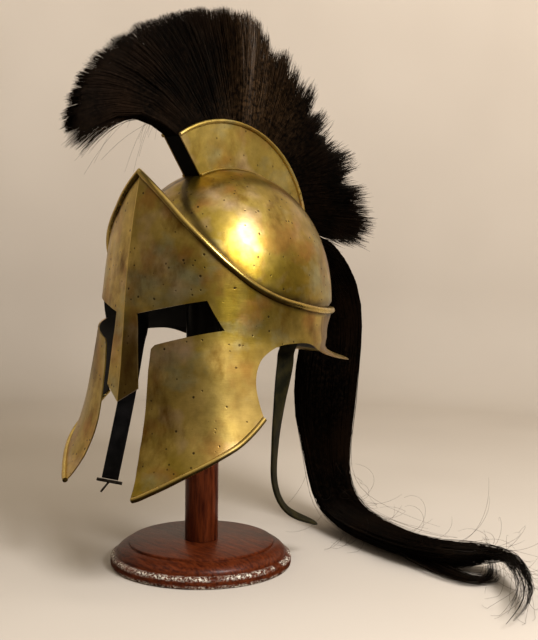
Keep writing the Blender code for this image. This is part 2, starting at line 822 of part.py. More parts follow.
def build_crest_block(parts, dome_cutter):
    block = extruded_outline("crest_block", crest_outline(PLATE_ARC_RADIUS - BLOCK_SINK),
                             BLOCK_HALF_WIDTH, SIDE_VIEW, (0.0, 0.0, 0.0), parts)
    add_boolean(block, dome_cutter, "DIFFERENCE")
    return finish(block, "dark_block", parts)


def build_crest_plate(side, name, parts, cutters, dome_cutter):
    """One brass side plate with its rolled lip; side is 1 or -1."""
    inside = BLOCK_HALF_WIDTH + GAP
    middle = side * (inside + 0.5 * SHEET)
    plate = extruded_outline(name, crest_outline(PLATE_ARC_RADIUS), 0.5 * SHEET,
                             SIDE_VIEW, (middle, 0.0, 0.0), parts)
    lip_x = side * (inside + LIP_RADIUS + 0.5 * GAP)
    arc = crest_arc(PLATE_ARC_RADIUS - LIP_WRAP * LIP_RADIUS, CREST_FIRST, CREST_LAST,
                    CREST_ARC_STEPS)
    lip = tube(name + "_lip", [(lip_x, along, height) for along, height in arc],
               LIP_RADIUS, cutters)
    add_boolean(plate, hide_cutter(lip), "UNION")
    plate = as_mesh(plate, parts)
    add_boolean(plate, dome_cutter, "DIFFERENCE")
    return finish(plate, "brass", parts)


def fan_column(position, notch):
    """Root and tip of the fan at a position along FAN_LINE, with the bow of the hair."""
    rows = [(index,) + row for index, row in enumerate(FAN_LINE)]
    root, tip, reach, rise, ragged = [smooth_value(rows, position, column)
                                      for column in range(1, 6)]
    reach = FAN_REACH * (reach - notch * ragged)
    root_radius = PLATE_ARC_RADIUS - BLOCK_SINK + GAP
    start = Vector((0.0, CREST_MIDDLE_Y + root_radius * math.cos(math.radians(root)),
                    CREST_MIDDLE_Z + root_radius * math.sin(math.radians(root))))
    end = Vector((0.0, CREST_MIDDLE_Y + reach * math.cos(math.radians(tip)),
                  CREST_MIDDLE_Z + reach * math.sin(math.radians(tip))))
    return start, end, FAN_REACH * rise


def build_crest_hair(parts):
    """The fan: one ridge for each lock, on one closed backing."""
    count = 2 * LOCKS
    near, far = [], []
    for index in range(count + 1):
        notch = float(index % 2 == 0 and 0 < index < count)
        start, end, rise = fan_column((len(FAN_LINE) - 1) * index / count, notch)
        for way, half in FAN_PROFILE:
            point = start.lerp(end, way)
            point.z += 4.0 * rise * way * (1.0 - way)
            thickness = FAN_TIP_HALF * half
            if way > NOTCH_START:
                thickness *= 1.0 - NOTCH_THINNING * notch
            near.append((thickness, point.y, point.z))
            far.append((-thickness, point.y, point.z))
    size = len(FAN_PROFILE)
    offset = len(near)
    faces = []
    for column in range(count):
        for row in range(size - 1):
            corner = column * size + row
            faces.append((corner, corner + size, corner + size + 1, corner + 1))
            corner += offset
            faces.append((corner, corner + 1, corner + size + 1, corner + size))
        root, tip = column * size, column * size + size - 1
        faces.append((root, root + offset, root + size + offset, root + size))
        faces.append((tip, tip + size, tip + size + offset, tip + offset))
    for row in range(size - 1):
        first, last = row, count * size + row
        faces.append((first, first + 1, first + 1 + offset, first + offset))
        faces.append((last, last + offset, last + 1 + offset, last + 1))
    made = mesh_object("crest_hair", near + far, faces, parts)
    return finish(made, "horsehair", parts)


def build_tail(parts):
    """The tail: a ridged bundle swept along its route, lying on the table at its end."""
    stations = spline_through(TAIL_ROUTE, TAIL_STEPS)
    centres = []
    for side, back, height, width, depth in stations:
        centres.append(Vector((side * TAIL_SIDE_REACH,
                               HEAD_MIDDLE_Y + back * (REAR_REACH + FLANGE_REACH),
                               height * CREST_MIDDLE_Z)))
    width_axis = Vector((0.0, 1.0, 0.0))
    vertices = []
    for index, station in enumerate(stations):
        before = centres[max(index - 1, 0)]
        after = centres[min(index + 1, TAIL_STEPS)]
        along = (after - before).normalized()
        width_axis = (width_axis - along * width_axis.dot(along)).normalized()
        height_axis = along.cross(width_axis)
        wind = TAIL_TWIST * index / TAIL_STEPS
        for side in range(TAIL_SIDES):
            angle = 2.0 * math.pi * side / TAIL_SIDES
            wave = math.cos(TAIL_RIDGES * (angle + wind))
            size = TAIL_HALF_WIDTH * (1.0 - TAIL_RIDGE_DEPTH * (0.5 + 0.5 * wave))
            across = width_axis * (size * station[3] * math.cos(angle))
            up = height_axis * (size * station[4] * math.sin(angle))
            point = centres[index] + across + up
            point.z = max(point.z, GAP)
            vertices.append(point)
    faces = []
    for index in range(TAIL_STEPS):
        for side in range(TAIL_SIDES):
            first = index * TAIL_SIDES + side
            second = index * TAIL_SIDES + (side + 1) % TAIL_SIDES
            faces.append((first, second, second + TAIL_SIDES, first + TAIL_SIDES))
    faces.append(tuple(reversed(range(TAIL_SIDES))))
    faces.append(tuple(TAIL_STEPS * TAIL_SIDES + side for side in range(TAIL_SIDES)))
    made = mesh_object("tail_hair", vertices, faces, parts)
    return finish(made, "horsehair", parts)


def strap_points(route, width):
    """Points of a strap's route with the turn of its width, from the shares of its table."""
    outward = math.copysign(1.0, route[-1][0])
    room = SHEET + 0.5 * STRAP_THICKNESS + STRAP_SEAT_GAP
    points = []
    for side, back, height_share, turn in route:
        along = HEAD_MIDDLE_Y + back * FRONT_REACH
        height = height_at(height_share)
        across = side * BROW_HALF_WIDTH
        if side == SEATED:
            across = outward * (half_width_at(along, height) - room)
            ahead = half_width_at(along - 0.5 * width, height)
            behind = half_width_at(along + 0.5 * width, height)
            turn = math.degrees(math.atan2(width, outward * (behind - ahead)))
        points.append((across, along, height, turn))
    return points


def strap_frame(along, turn):
    """The direction of a strap's width, square to its length."""
    across = Vector((math.cos(math.radians(turn)), math.sin(math.radians(turn)), 0.0))
    return (across - along * across.dot(along)).normalized()


def build_strap(name, route, width, material_name, parts):
    """A flat leather strap along its route, turning as it hangs, with a narrowed free end."""
    stations = spline_through(strap_points(route, width), STRAP_STEPS)
    centres = [Vector(station[:3]) for station in stations]
    vertices = []
    for index, station in enumerate(stations):
        before = centres[max(index - 1, 0)]
        after = centres[min(index + 1, STRAP_STEPS)]
        along = (after - before).normalized()
        across = strap_frame(along, station[3])
        share = STRAP_END_SHARE if index == STRAP_STEPS else 1.0
        side = across * (0.5 * width * share)
        thick = along.cross(across) * (0.5 * STRAP_THICKNESS)
        centre = centres[index]
        vertices.extend((centre - side - thick, centre + side - thick,
                         centre + side + thick, centre - side + thick))
    faces = [(3, 2, 1, 0)]
    for index in range(STRAP_STEPS):
        for edge in range(4):
            first = index * 4 + edge
            second = index * 4 + (edge + 1) % 4
            faces.append((first, second, second + 4, first + 4))
    faces.append(tuple(STRAP_STEPS * 4 + edge for edge in range(4)))
    made = mesh_object(name, vertices, faces, parts)
    return finish(made, material_name, parts)


def build_buckle(parts, cutters):
    """The bar and prong at the free end of the right strap."""
    route = strap_points(RIGHT_STRAP_ROUTE, RIGHT_STRAP_WIDTH)
    stations = spline_through(route, STRAP_STEPS)
    end = Vector(stations[-1][:3])
    along = (end - Vector(stations[-2][:3])).normalized()
    across = strap_frame(along, stations[-1][3])
    centre = end + along * (BUCKLE_BAR_RADIUS + 2.0 * GAP)
    reach = across * (0.5 * BUCKLE_BAR_LENGTH)
    bar = tube("strap_buckle", [centre - reach, centre, centre + reach],
               BUCKLE_BAR_RADIUS, parts)
    hook = along * BUCKLE_PRONG_LENGTH - across * (PRONG_LEAN * BUCKLE_BAR_LENGTH)
    prong = tube("prong", [centre, centre + 0.5 * hook, centre + hook],
                 BUCKLE_PRONG_RADIUS, cutters)
    add_boolean(bar, hide_cutter(prong), "UNION")
    return finish(bar, "dark_steel", parts)


def build_stand(parts, cutters):
    profile = [(STAND_RADIUS * radius, STAND_BASE_HEIGHT * height)
               for radius, height in BASE_PROFILE]
    base = turned("stand_base", profile, TURNED_STEPS, parts)
    finish(base, "mahogany", parts)

    cap_top = SKULL_TOP_Z + CAP_ALLOWANCE
    cap_foot = SKULL_TOP_Z - SHEET - CAP_HEIGHT
    post_foot = STAND_BASE_HEIGHT + GAP
    post_top = cap_foot - GAP
    bpy.ops.mesh.primitive_cylinder_add(vertices=ROUND_SIDES, radius=POST_RADIUS,
                                        depth=post_top - post_foot,
                                        location=(0.0, 0.0, 0.5 * (post_top + post_foot)))
    post = bpy.context.object
    post.name = "stand_post"
    move_to(post, parts)
    finish(post, "mahogany", parts)

    bpy.ops.mesh.primitive_cylinder_add(vertices=ROUND_SIDES, radius=CAP_RADIUS,
                                        depth=cap_top - cap_foot,
                                        location=(0.0, 0.0, 0.5 * (cap_top + cap_foot)))
    cap = bpy.context.object
    cap.name = "stand_cap"
    move_to(cap, parts)
    inside = dome_object("dome_inside_cutter", -SHEET - 2.0 * GAP, True, cutters)
    add_boolean(cap, hide_cutter(inside), "INTERSECT")
    finish(cap, "mahogany", parts)


def move_to(made, collection):
    for owner in list(made.users_collection):
        owner.objects.unlink(made)
    collection.objects.link(made)


def main():
    for leftover in list(bpy.data.objects):
        bpy.data.objects.remove(leftover)
    parts = new_collection("corinthian_helmet")
    cutters = new_collection("cutters")
    dome_cutter = hide_cutter(dome_object("dome_cutter", GAP, True, cutters))
    build_skull(parts, cutters)
    build_face_mask(parts, cutters)
    build_crest_block(parts, dome_cutter)
    build_crest_plate(1, "crest_plate_left", parts, cutters, dome_cutter)
    build_crest_plate(-1, "crest_plate_right", parts, cutters, dome_cutter)
    build_crest_hair(parts)
    build_tail(parts)
    build_strap("strap_left", LEFT_STRAP_ROUTE, LEFT_STRAP_WIDTH, "olive_leather", parts)
    build_strap("strap_right", RIGHT_STRAP_ROUTE, RIGHT_STRAP_WIDTH, "black_leather", parts)
    build_buckle(parts, cutters)
    build_stand(parts, cutters)


main()
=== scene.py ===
# %% [markdown]
# # A brass helmet of the Corinthian kind, with a horsehair crest and tail, on its stand
#
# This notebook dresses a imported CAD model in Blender. The solids already stand at their real
# size, in metres, with +Z up and the helmet facing -Y. Each cell adds one piece or one finish,
# and says first what the real thing is and why it is made in this way.

# %% Load the frame
import math
import random

import bmesh
import bpy
from mathutils import Matrix, Vector, noise


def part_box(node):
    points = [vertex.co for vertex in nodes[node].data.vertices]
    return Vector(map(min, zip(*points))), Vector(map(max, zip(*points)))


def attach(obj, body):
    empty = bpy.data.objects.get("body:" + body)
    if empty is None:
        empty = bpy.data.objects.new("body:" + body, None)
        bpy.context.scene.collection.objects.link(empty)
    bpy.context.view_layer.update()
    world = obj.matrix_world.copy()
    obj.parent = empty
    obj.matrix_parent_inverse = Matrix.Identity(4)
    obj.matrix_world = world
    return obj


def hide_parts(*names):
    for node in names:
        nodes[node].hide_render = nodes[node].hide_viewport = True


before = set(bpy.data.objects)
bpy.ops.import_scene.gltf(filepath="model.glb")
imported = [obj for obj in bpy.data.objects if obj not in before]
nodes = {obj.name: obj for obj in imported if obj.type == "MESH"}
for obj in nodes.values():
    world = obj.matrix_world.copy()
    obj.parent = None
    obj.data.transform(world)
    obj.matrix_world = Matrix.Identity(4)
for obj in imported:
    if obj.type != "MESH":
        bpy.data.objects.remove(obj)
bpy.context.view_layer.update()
print("CAD nodes:", ", ".join(sorted(nodes)))

# %% [markdown]
# ## Camera
#
# The photograph was taken from a little above the table, from the front left of the helmet.
# A camera is a place, a direction and a focal length, so all three are written as plain values:
# the turn round the object, the distance, the height, and how far the camera looks to the side
# and down. Blender's lens is given in millimetres on a 36 mm frame, on the picture's long side.

# %% Camera at the photograph's place
CAMERA_TURN = math.radians(50.0)
CAMERA_DISTANCE = 1.080
CAMERA_HEIGHT = 0.3253
LOOK_TURN = math.radians(46.557)
LOOK_DOWN = math.radians(4.346)
LOOK_ROLL = math.radians(0.746)
LENS = 61.70

camera_data = bpy.data.cameras.new("camera")
camera_data.lens = LENS
camera_data.sensor_width = 36.0
camera = bpy.data.objects.new("camera", camera_data)
bpy.context.scene.collection.objects.link(camera)
forward = Vector((-math.sin(LOOK_TURN) * math.cos(LOOK_DOWN),
                  math.cos(LOOK_TURN) * math.cos(LOOK_DOWN), -math.sin(LOOK_DOWN)))
level = Vector((math.cos(LOOK_TURN), math.sin(LOOK_TURN), 0.0))
upward = level.cross(forward)
across = math.cos(LOOK_ROLL) * level + math.sin(LOOK_ROLL) * upward
upward = across.cross(forward)
turn = Matrix((across, upward, -forward)).transposed().to_4x4()
place = Vector((CAMERA_DISTANCE * math.sin(CAMERA_TURN),
                -CAMERA_DISTANCE * math.cos(CAMERA_TURN), CAMERA_HEIGHT))
camera.matrix_world = Matrix.Translation(place) @ turn
bpy.context.scene.camera = camera
bpy.context.scene.view_settings.view_transform = "Standard"
print("camera at", [round(value, 3) for value in place])

# %% [markdown]
# ## Small helpers
#
# Materials in Blender are graphs of nodes. One short helper makes a node, sets its choices and
# joins its sockets, so that each finish below reads as a list of what it is made of. A second
# pair of helpers turns a bmesh into an object that rides on the helmet's body.

# %% Node helper
def add(tree, kind, sockets=(), **choices):
    """A new node; a socket's value may be a number, a colour or another node's output."""
    made = tree.nodes.new(kind)
    for name, value in choices.items():
        setattr(made, name, value)
    for socket, value in dict(sockets).items():
        if isinstance(value, bpy.types.NodeSocket):
            tree.links.new(value, made.inputs[socket])
        else:
            made.inputs[socket].default_value = value
    return made


def grey_of(tree, value):
    """A grey colour from one number."""
    return add(tree, "ShaderNodeCombineColor", {0: value, 1: value, 2: value}).outputs[0]


def new_material(name):
    """An empty Principled material: its node tree and its shader."""
    made = bpy.data.materials.new(name)
    made.use_nodes = True
    return made, made.node_tree, made.node_tree.nodes["Principled BSDF"]


def object_place(tree, stretch=(1.0, 1.0, 1.0)):
    """Object coordinates, in metres, stretched along each axis."""
    coordinates = add(tree, "ShaderNodeTexCoord")
    mapping = add(tree, "ShaderNodeMapping", {0: coordinates.outputs["Object"], 3: stretch})
    return mapping.outputs[0]


def clouds(tree, place, scale, detail=4.0, roughness=0.55):
    """Soft noise from 0 to 1; scale is how many patches fit in a metre."""
    made = add(tree, "ShaderNodeTexNoise", {"Vector": place, "Scale": scale, "Detail": detail,
                                            "Roughness": roughness})
    return made.outputs["Fac"]


def spread(tree, value, low, high, first=0.0, last=1.0):
    """The value, moved from the range low to high to the range first to last."""
    made = add(tree, "ShaderNodeMapRange", {0: value, 1: low, 2: high, 3: first, 4: last})
    return made.outputs[0]


def blend_colours(tree, share, first, second, how="MIX"):
    """Two colours mixed by a share from 0 to 1."""
    made = add(tree, "ShaderNodeMix", {0: share, 6: first, 7: second},
               data_type="RGBA", blend_type=how)
    return made.outputs[2]


def combine(tree, first, second, how="MULTIPLY"):
    """Two numbers combined by a sum, a product or a comparison."""
    made = add(tree, "ShaderNodeMath", {0: first, 1: second}, operation=how, use_clamp=True)
    return made.outputs[0]


def bump(tree, height, depth, normal=None):
    """A surface that looks raised by the height, depth metres at most."""
    made = add(tree, "ShaderNodeBump", {"Height": height, "Distance": depth, "Strength": 1.0})
    if normal is not None:
        tree.links.new(normal, made.inputs["Normal"])
    return made.outputs["Normal"]


print("node helpers ready")

# %% Mesh helpers
SHARP_ANGLE = 38.0            # degrees; a sharper fold than this is shaded as an edge


def piece_from(work, name, material):
    """A finished piece from a bmesh, smooth shaded, riding on the helmet's one body."""
    mesh = bpy.data.meshes.new(name)
    work.to_mesh(mesh)
    work.free()
    return ride_piece(bpy.data.objects.new(name, mesh), material)


def ride_piece(made, material, sharp_angle=SHARP_ANGLE):
    """Link a piece, shade it smooth, give it its material and let it ride on the root body."""
    if made.name not in bpy.context.scene.collection.objects:
        bpy.context.scene.collection.objects.link(made)
    made.data.materials.clear()
    made.data.materials.append(material)
    made.data.shade_smooth()
    made.data.set_sharp_from_angle(angle=math.radians(sharp_angle))
    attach(made, "root")
    return made


def as_mesh(made):
    """The object's final form as a plain mesh object, in place of the object itself."""
    bpy.context.view_layer.update()
    evaluated = made.evaluated_get(bpy.context.evaluated_depsgraph_get())
    mesh = bpy.data.meshes.new_from_object(evaluated)
    mesh.transform(made.matrix_world)
    name = made.name
    bpy.data.objects.remove(made)
    mesh.name = name
    plain = bpy.data.objects.new(name, mesh)
    bpy.context.scene.collection.objects.link(plain)
    return plain


def smooth_value(table, key, column):
    """Value of a table's column at a key, on a smooth curve through the table's rows."""
    rows = sorted(table)
    key = min(max(key, rows[0][0]), rows[-1][0])
    index = 0
    while index < len(rows) - 2 and key > rows[index + 1][0]:
        index += 1
    left, right = rows[index], rows[index + 1]
    span = right[0] - left[0]
    step = right[column] - left[column]

    def slope(middle):
        before = rows[max(middle - 1, 0)]
        after = rows[min(middle + 1, len(rows) - 1)]
        return (after[column] - before[column]) / (after[0] - before[0]) * span

    part = (key - left[0]) / span
    first, last = slope(index), slope(index + 1)
    return (left[column] + first * part
            + (3.0 * step - 2.0 * first - last) * part * part
            + (first + last - 2.0 * step) * part * part * part)


def eased(value):
    """0 below 0, 1 above 1, and a soft S between them."""
    held = min(max(value, 0.0), 1.0)
    return held * held * (3.0 - 2.0 * held)


print("mesh helpers ready")

# %% [markdown]
# ## Table and backdrop
#
# The helmet stands on a pale sweep: a floor that curves up into a wall, as in a photographer's
# studio. A profile of a few points is spun part of the way round, so the curve has no crease.
# The wall is seen only from inside, so a camera that walks behind it still sees the helmet. The
# brass mirrors the sweep but not the wide floor round it, as the real one mirrors a dark room.
# The sweep's colour carries painted shade: darker low down and to the left, lighter up the wall
# and to the right.

# %% Pale sweep
SWEEP_RADIUS = 1.30
SWEEP_CURVE = 0.22
SWEEP_CURVE_STEPS = 9
SWEEP_HEIGHT = 1.9
SWEEP_TURN = math.radians(170.0)
SWEEP_STEPS = 72
FLOOR_RADIUS = 4.0
FLOOR_SINK = 0.0006
PALE_DARK = (0.520, 0.464, 0.394, 1.0)
PALE_LIGHT = (0.574, 0.517, 0.443, 1.0)
#     painted shade: from, to, and how light the wall's colour is painted at each
PAINTED_SHADE_UPWARDS = (0.0, 0.85, 0.82, 1.32)
PAINTED_SHADE_ACROSS = (-0.6, 0.6, 0.92, 1.14)


def build_sweep():
    work = bmesh.new()
    profile = [(0.0, 0.0), (0.4, 0.0), (SWEEP_RADIUS - SWEEP_CURVE, 0.0)]
    for step in range(1, SWEEP_CURVE_STEPS + 1):
        angle = 0.5 * math.pi * step / SWEEP_CURVE_STEPS
        profile.append((SWEEP_RADIUS - SWEEP_CURVE + SWEEP_CURVE * math.sin(angle),
                        SWEEP_CURVE - SWEEP_CURVE * math.cos(angle)))
    profile.append((SWEEP_RADIUS, SWEEP_HEIGHT))
    vertices = [work.verts.new((0.0, radius, height)) for radius, height in profile]
    edges = [work.edges.new(pair) for pair in zip(vertices, vertices[1:])]
    bmesh.ops.rotate(work, verts=vertices, cent=(0, 0, 0),
                     matrix=Matrix.Rotation(LOOK_TURN - 0.5 * SWEEP_TURN, 3, "Z"))
    bmesh.ops.spin(work, geom=vertices + edges, axis=(0, 0, 1), cent=(0, 0, 0),
                   angle=SWEEP_TURN, steps=SWEEP_STEPS)
    bmesh.ops.remove_doubles(work, verts=work.verts, dist=1e-5)
    bmesh.ops.recalc_face_normals(work, faces=work.faces)
    if min(face.normal.z for face in work.faces) < -0.5:
        bmesh.ops.reverse_faces(work, faces=work.faces)
    return work


def build_floor():
    work = bmesh.new()
    bmesh.ops.create_circle(work, cap_ends=True, segments=96, radius=FLOOR_RADIUS)
    bmesh.ops.translate(work, verts=work.verts, vec=(0.0, 0.0, -FLOOR_SINK))
    return work


def sweep_finish():
    made, tree, shader = new_material("pale_sweep")
    place = object_place(tree)
    tone = clouds(tree, place, 2.2, 2.0)
    colour = blend_colours(tree, spread(tree, tone, 0.3, 0.7), PALE_DARK, PALE_LIGHT)
    height = add(tree, "ShaderNodeSeparateXYZ", {0: place}).outputs["Z"]
    to_right = add(tree, "ShaderNodeVectorMath", {0: place, 1: tuple(level)},
                   operation="DOT_PRODUCT").outputs["Value"]
    # painted shade: the colour is darker low down and to the left, lighter up the wall and to
    # the right
    shade = add(tree, "ShaderNodeMath", {0: spread(tree, height, *PAINTED_SHADE_UPWARDS),
                                         1: spread(tree, to_right, *PAINTED_SHADE_ACROSS)},
                operation="MULTIPLY").outputs[0]
    colour = blend_colours(tree, 1.0, colour, grey_of(tree, shade), "MULTIPLY")
    tree.links.new(colour, shader.inputs["Base Color"])
    shader.inputs["Roughness"].default_value = 0.85
    shader.inputs["Specular IOR Level"].default_value = 0.15
    faces_away = add(tree, "ShaderNodeNewGeometry").outputs["Backfacing"]
    clear = add(tree, "ShaderNodeBsdfTransparent")
    mixed = add(tree, "ShaderNodeMixShader", {0: faces_away, 1: shader.outputs[0],
                                              2: clear.outputs[0]})
    tree.links.new(mixed.outputs[0], tree.nodes["Material Output"].inputs[0])
    return made


pale = sweep_finish()
for name, work in (("sweep", build_sweep()), ("floor", build_floor())):
    mesh = bpy.data.meshes.new(name)
    work.to_mesh(mesh)
    work.free()
    mesh.materials.append(pale)
    mesh.shade_smooth()
    stage_piece = bpy.data.objects.new(name, mesh)
    bpy.context.scene.collection.objects.link(stage_piece)
    stage_piece.visible_glossy = name == "sweep"
    upward_faces = sum(1 for face in mesh.polygons if face.normal.z > 0.9)
    print(name, len(mesh.polygons), "faces,", upward_faces, "face up")

# %% [markdown]
# ## Light
#
# The dome shows one round bright spot on its left. A mirror-like dome tells where the lamp
# stands: the direction of sight, turned about the surface's normal at the bright spot, points at
# it. So one round lamp stands there and is mirrored. A wider lamp behind it softens the shadows
# and another lights the wall, and the brass mirrors neither, or it would show three spots.

# %% Lamps
def area_lamp(name, place, target, width, power, colour, mirrored):
    """A round lamp; one that isn't mirrored leaves no bright spot in the brass."""
    data = bpy.data.lights.new(name, "AREA")
    data.shape = "DISK"
    data.size = width
    data.energy = power
    data.color = colour
    lamp = bpy.data.objects.new(name, data)
    aim = (Vector(target) - Vector(place)).to_track_quat("-Z", "Y")
    lamp.matrix_world = Matrix.Translation(place) @ aim.to_matrix().to_4x4()
    lamp.visible_glossy = mirrored
    bpy.context.scene.collection.objects.link(lamp)
    return lamp


SPOT = Vector((0.080, -0.018, 0.322))
SPOT_LAMP_WAY = Vector((0.832, -0.073, 0.550))
#   name, place, target, width, power, colour, mirrored
LAMPS = (
    ("spot_lamp", SPOT + 1.25 * SPOT_LAMP_WAY, SPOT, 0.48, 24.0, (1.0, 0.98, 1.0), True),
    ("soft_lamp", SPOT + 1.45 * SPOT_LAMP_WAY, SPOT, 1.0, 8.0, (1.0, 0.94, 0.85), False),
    ("wall_lamp", (1.0, 0.75, 1.9), (0.1, 0.9, 0.4), 0.7, 7.0, (1.0, 0.95, 0.90), False),
)
for lamp_row in LAMPS:
    print(area_lamp(*lamp_row).name, lamp_row[4], "watts")

# %% [markdown]
# Metal has no colour of its own in the dark: it shows the room. The world behind everything is
# that room, dark below the horizon, warm and dim above it and brightest overhead, where the
# ceiling's light is. Where the sweep ends, the camera sees one plain tone instead.

# %% Room
ROOM_FLOOR = (0.020, 0.014, 0.009, 1.0)
#   height of the direction from, to, and the colour above it
ROOM_BANDS = (
    (-0.30, 0.12, (0.170, 0.135, 0.095, 1.0)),
    (0.10, 0.60, (0.46, 0.40, 0.33, 1.0)),
    (0.66, 0.90, (0.95, 0.86, 0.72, 1.0)),
)
ROOM_SEEN = (0.52, 0.46, 0.38, 1.0)


def room_light():
    world = bpy.data.worlds.new("room")
    world.use_nodes = True
    tree = world.node_tree
    background = tree.nodes["Background"]
    direction = add(tree, "ShaderNodeTexCoord").outputs["Generated"]
    height = add(tree, "ShaderNodeSeparateXYZ", {0: direction}).outputs["Z"]
    room = ROOM_FLOOR
    for low, high, above in ROOM_BANDS:
        room = blend_colours(tree, spread(tree, height, low, high), room, above)
    seen = add(tree, "ShaderNodeLightPath").outputs["Is Camera Ray"]
    colour = blend_colours(tree, seen, room, ROOM_SEEN)
    tree.links.new(colour, background.inputs["Color"])
    bpy.context.scene.world = world


room_light()
print("room:", len(ROOM_BANDS) + 1, "tones from the floor to the zenith")

# %% [markdown]
# ## Old brass
#
# Real old brass is a golden metal under a thin, uneven skin of tarnish: olive and brown clouds,
# tan, copper and grey-green blooms, and small dark pits. Some stains have their own place, and
# so have a painted shade and a painted highlight, so they are boxes with soft sides. The inside
# of the sheet was never polished, so the finish turns black where the surface faces the middle
# of the head. These helpers each make one such mask.

# %% Masks for the brass
HEAD_MIDDLE_Y = 0.026
HEAD_MIDDLE_Z = 0.230


def inside_share(tree):
    """1 on faces that look at the middle of the head, 0 on the outside."""
    geometry = add(tree, "ShaderNodeNewGeometry")
    from_middle = add(tree, "ShaderNodeVectorMath",
                      {0: add(tree, "ShaderNodeTexCoord").outputs["Object"],
                       1: (0.0, HEAD_MIDDLE_Y, HEAD_MIDDLE_Z)}, operation="SUBTRACT")
    level = add(tree, "ShaderNodeVectorMath",
                {0: from_middle.outputs[0], 1: (1.0, 1.0, 0.35)}, operation="MULTIPLY")
    outward = add(tree, "ShaderNodeVectorMath", {0: level.outputs[0]}, operation="NORMALIZE")
    facing = add(tree, "ShaderNodeVectorMath",
                 {0: outward.outputs[0], 1: geometry.outputs["True Normal"]},
                 operation="DOT_PRODUCT")
    return spread(tree, facing.outputs["Value"], -0.25, -0.40)


def pits(tree, place, scale, size, kept):
    """Round pits of one size, in a share kept of the cells, from 0 to 1."""
    cells = add(tree, "ShaderNodeTexVoronoi", {"Vector": place, "Scale": scale,
                                               "Randomness": 1.0})
    dots = spread(tree, cells.outputs["Distance"], size, size * 0.55)
    chance = add(tree, "ShaderNodeSeparateColor", {0: cells.outputs["Color"]}).outputs[0]
    return combine(tree, dots, spread(tree, chance, kept, kept - 0.02))


def region(tree, place, low, high, soft):
    """1 between the corners low and high, fading outside them over the lengths in soft."""
    apart = add(tree, "ShaderNodeSeparateXYZ", {0: place})
    share = 1.0
    for index, axis in enumerate("XYZ"):
        rising = spread(tree, apart.outputs[axis], low[index] - soft[index], low[index])
        falling = spread(tree, apart.outputs[axis], high[index] + soft[index], high[index])
        share = combine(tree, share, combine(tree, rising, falling))
    return share


print("masks: inside, pits and region")

# %% [markdown]
# The finish itself lays one colour over the other on a metal shader. The blooms are alike, so a
# table holds them, and so are the stains of the nape. The near face of the nasal and the rear of
# the cheek by the jaw are darkened as painted shade, which also keeps the lamp's reflection off
# the cheek; the ridge of the keel is kept bright gold as a painted highlight, like rubbed brass;
# and the brass beside the beads is darkened by an attribute that the sheets carry. Last come
# three bumps: slow waves of the hammer, scratches, and the pits.

# %% Brass finish
BRASS_GOLD = (0.62, 0.445, 0.130, 1.0)
BRASS_OLIVE = (0.29, 0.200, 0.020, 1.0)
BRASS_TAN = (0.64, 0.455, 0.285, 1.0)
BRASS_GREY = (0.40, 0.38, 0.210, 1.0)
BRASS_BROWN = (0.15, 0.068, 0.004, 1.0)
BRASS_COPPER = (0.38, 0.180, 0.042, 1.0)
BRASS_RUST = (0.27, 0.095, 0.016, 1.0)
# painted shade: the colour that darkens the near face of the nasal and the rear of the cheek
BRASS_PAINTED_SHADE = (0.080, 0.040, 0.006, 1.0)
PIT_COLOUR = (0.040, 0.024, 0.010, 1.0)
INSIDE_BLACK = (0.006, 0.005, 0.004, 1.0)
#   colour, stretch, patches in a metre, detail, roughness, starts at, full at, strength
BLOOMS = (
    (BRASS_TAN, (1.0, 1.0, 1.0), 15.0, 3.0, 0.55, 0.53, 0.66, 0.80),
    (BRASS_GREY, (0.8, 1.0, 1.3), 19.0, 4.0, 0.55, 0.55, 0.70, 0.75),
    (BRASS_BROWN, (1.0, 1.0, 0.6), 24.0, 5.0, 0.60, 0.51, 0.68, 0.95),
    (BRASS_COPPER, (1.2, 0.8, 1.0), 27.0, 3.0, 0.55, 0.53, 0.66, 0.60),
)
#   pits in a metre, size, share of the cells that have one
PIT_SIZES = (
    (88.0, 0.130, 0.95),
    (150.0, 0.165, 0.40),
)
#   low corner, high corner, softness
NAPE_RUST = ((0.06, 0.031, 0.200), (0.10, 0.048, 0.2485), (0.003, 0.003, 0.001))
NAPE_BROWN = ((0.06, 0.068, 0.200), (0.10, 0.090, 0.2485), (0.003, 0.003, 0.001))
# painted shade boxes: the near face of the nasal, and the rear of the cheek by the jaw
NASAL_PAINTED_SHADE = ((0.0012, -0.13, 0.160), (0.026, -0.085, 0.228), (0.0006, 0.003, 0.030))
JAW_PAINTED_SHADE = ((0.080, -0.050, 0.138), (0.145, -0.020, 0.222), (0.010, 0.026, 0.018))
# painted highlight: the ridge of the keel, kept bright gold like rubbed brass
RIDGE_HIGHLIGHT = ((-0.0004, -0.140, 0.150), (0.0004, -0.060, 0.381), (0.0004, 0.0004, 0.0004))
WAVE_DEPTH = 0.0006
SCRATCH_DEPTH = 0.00006
PIT_DEPTH = 0.00012


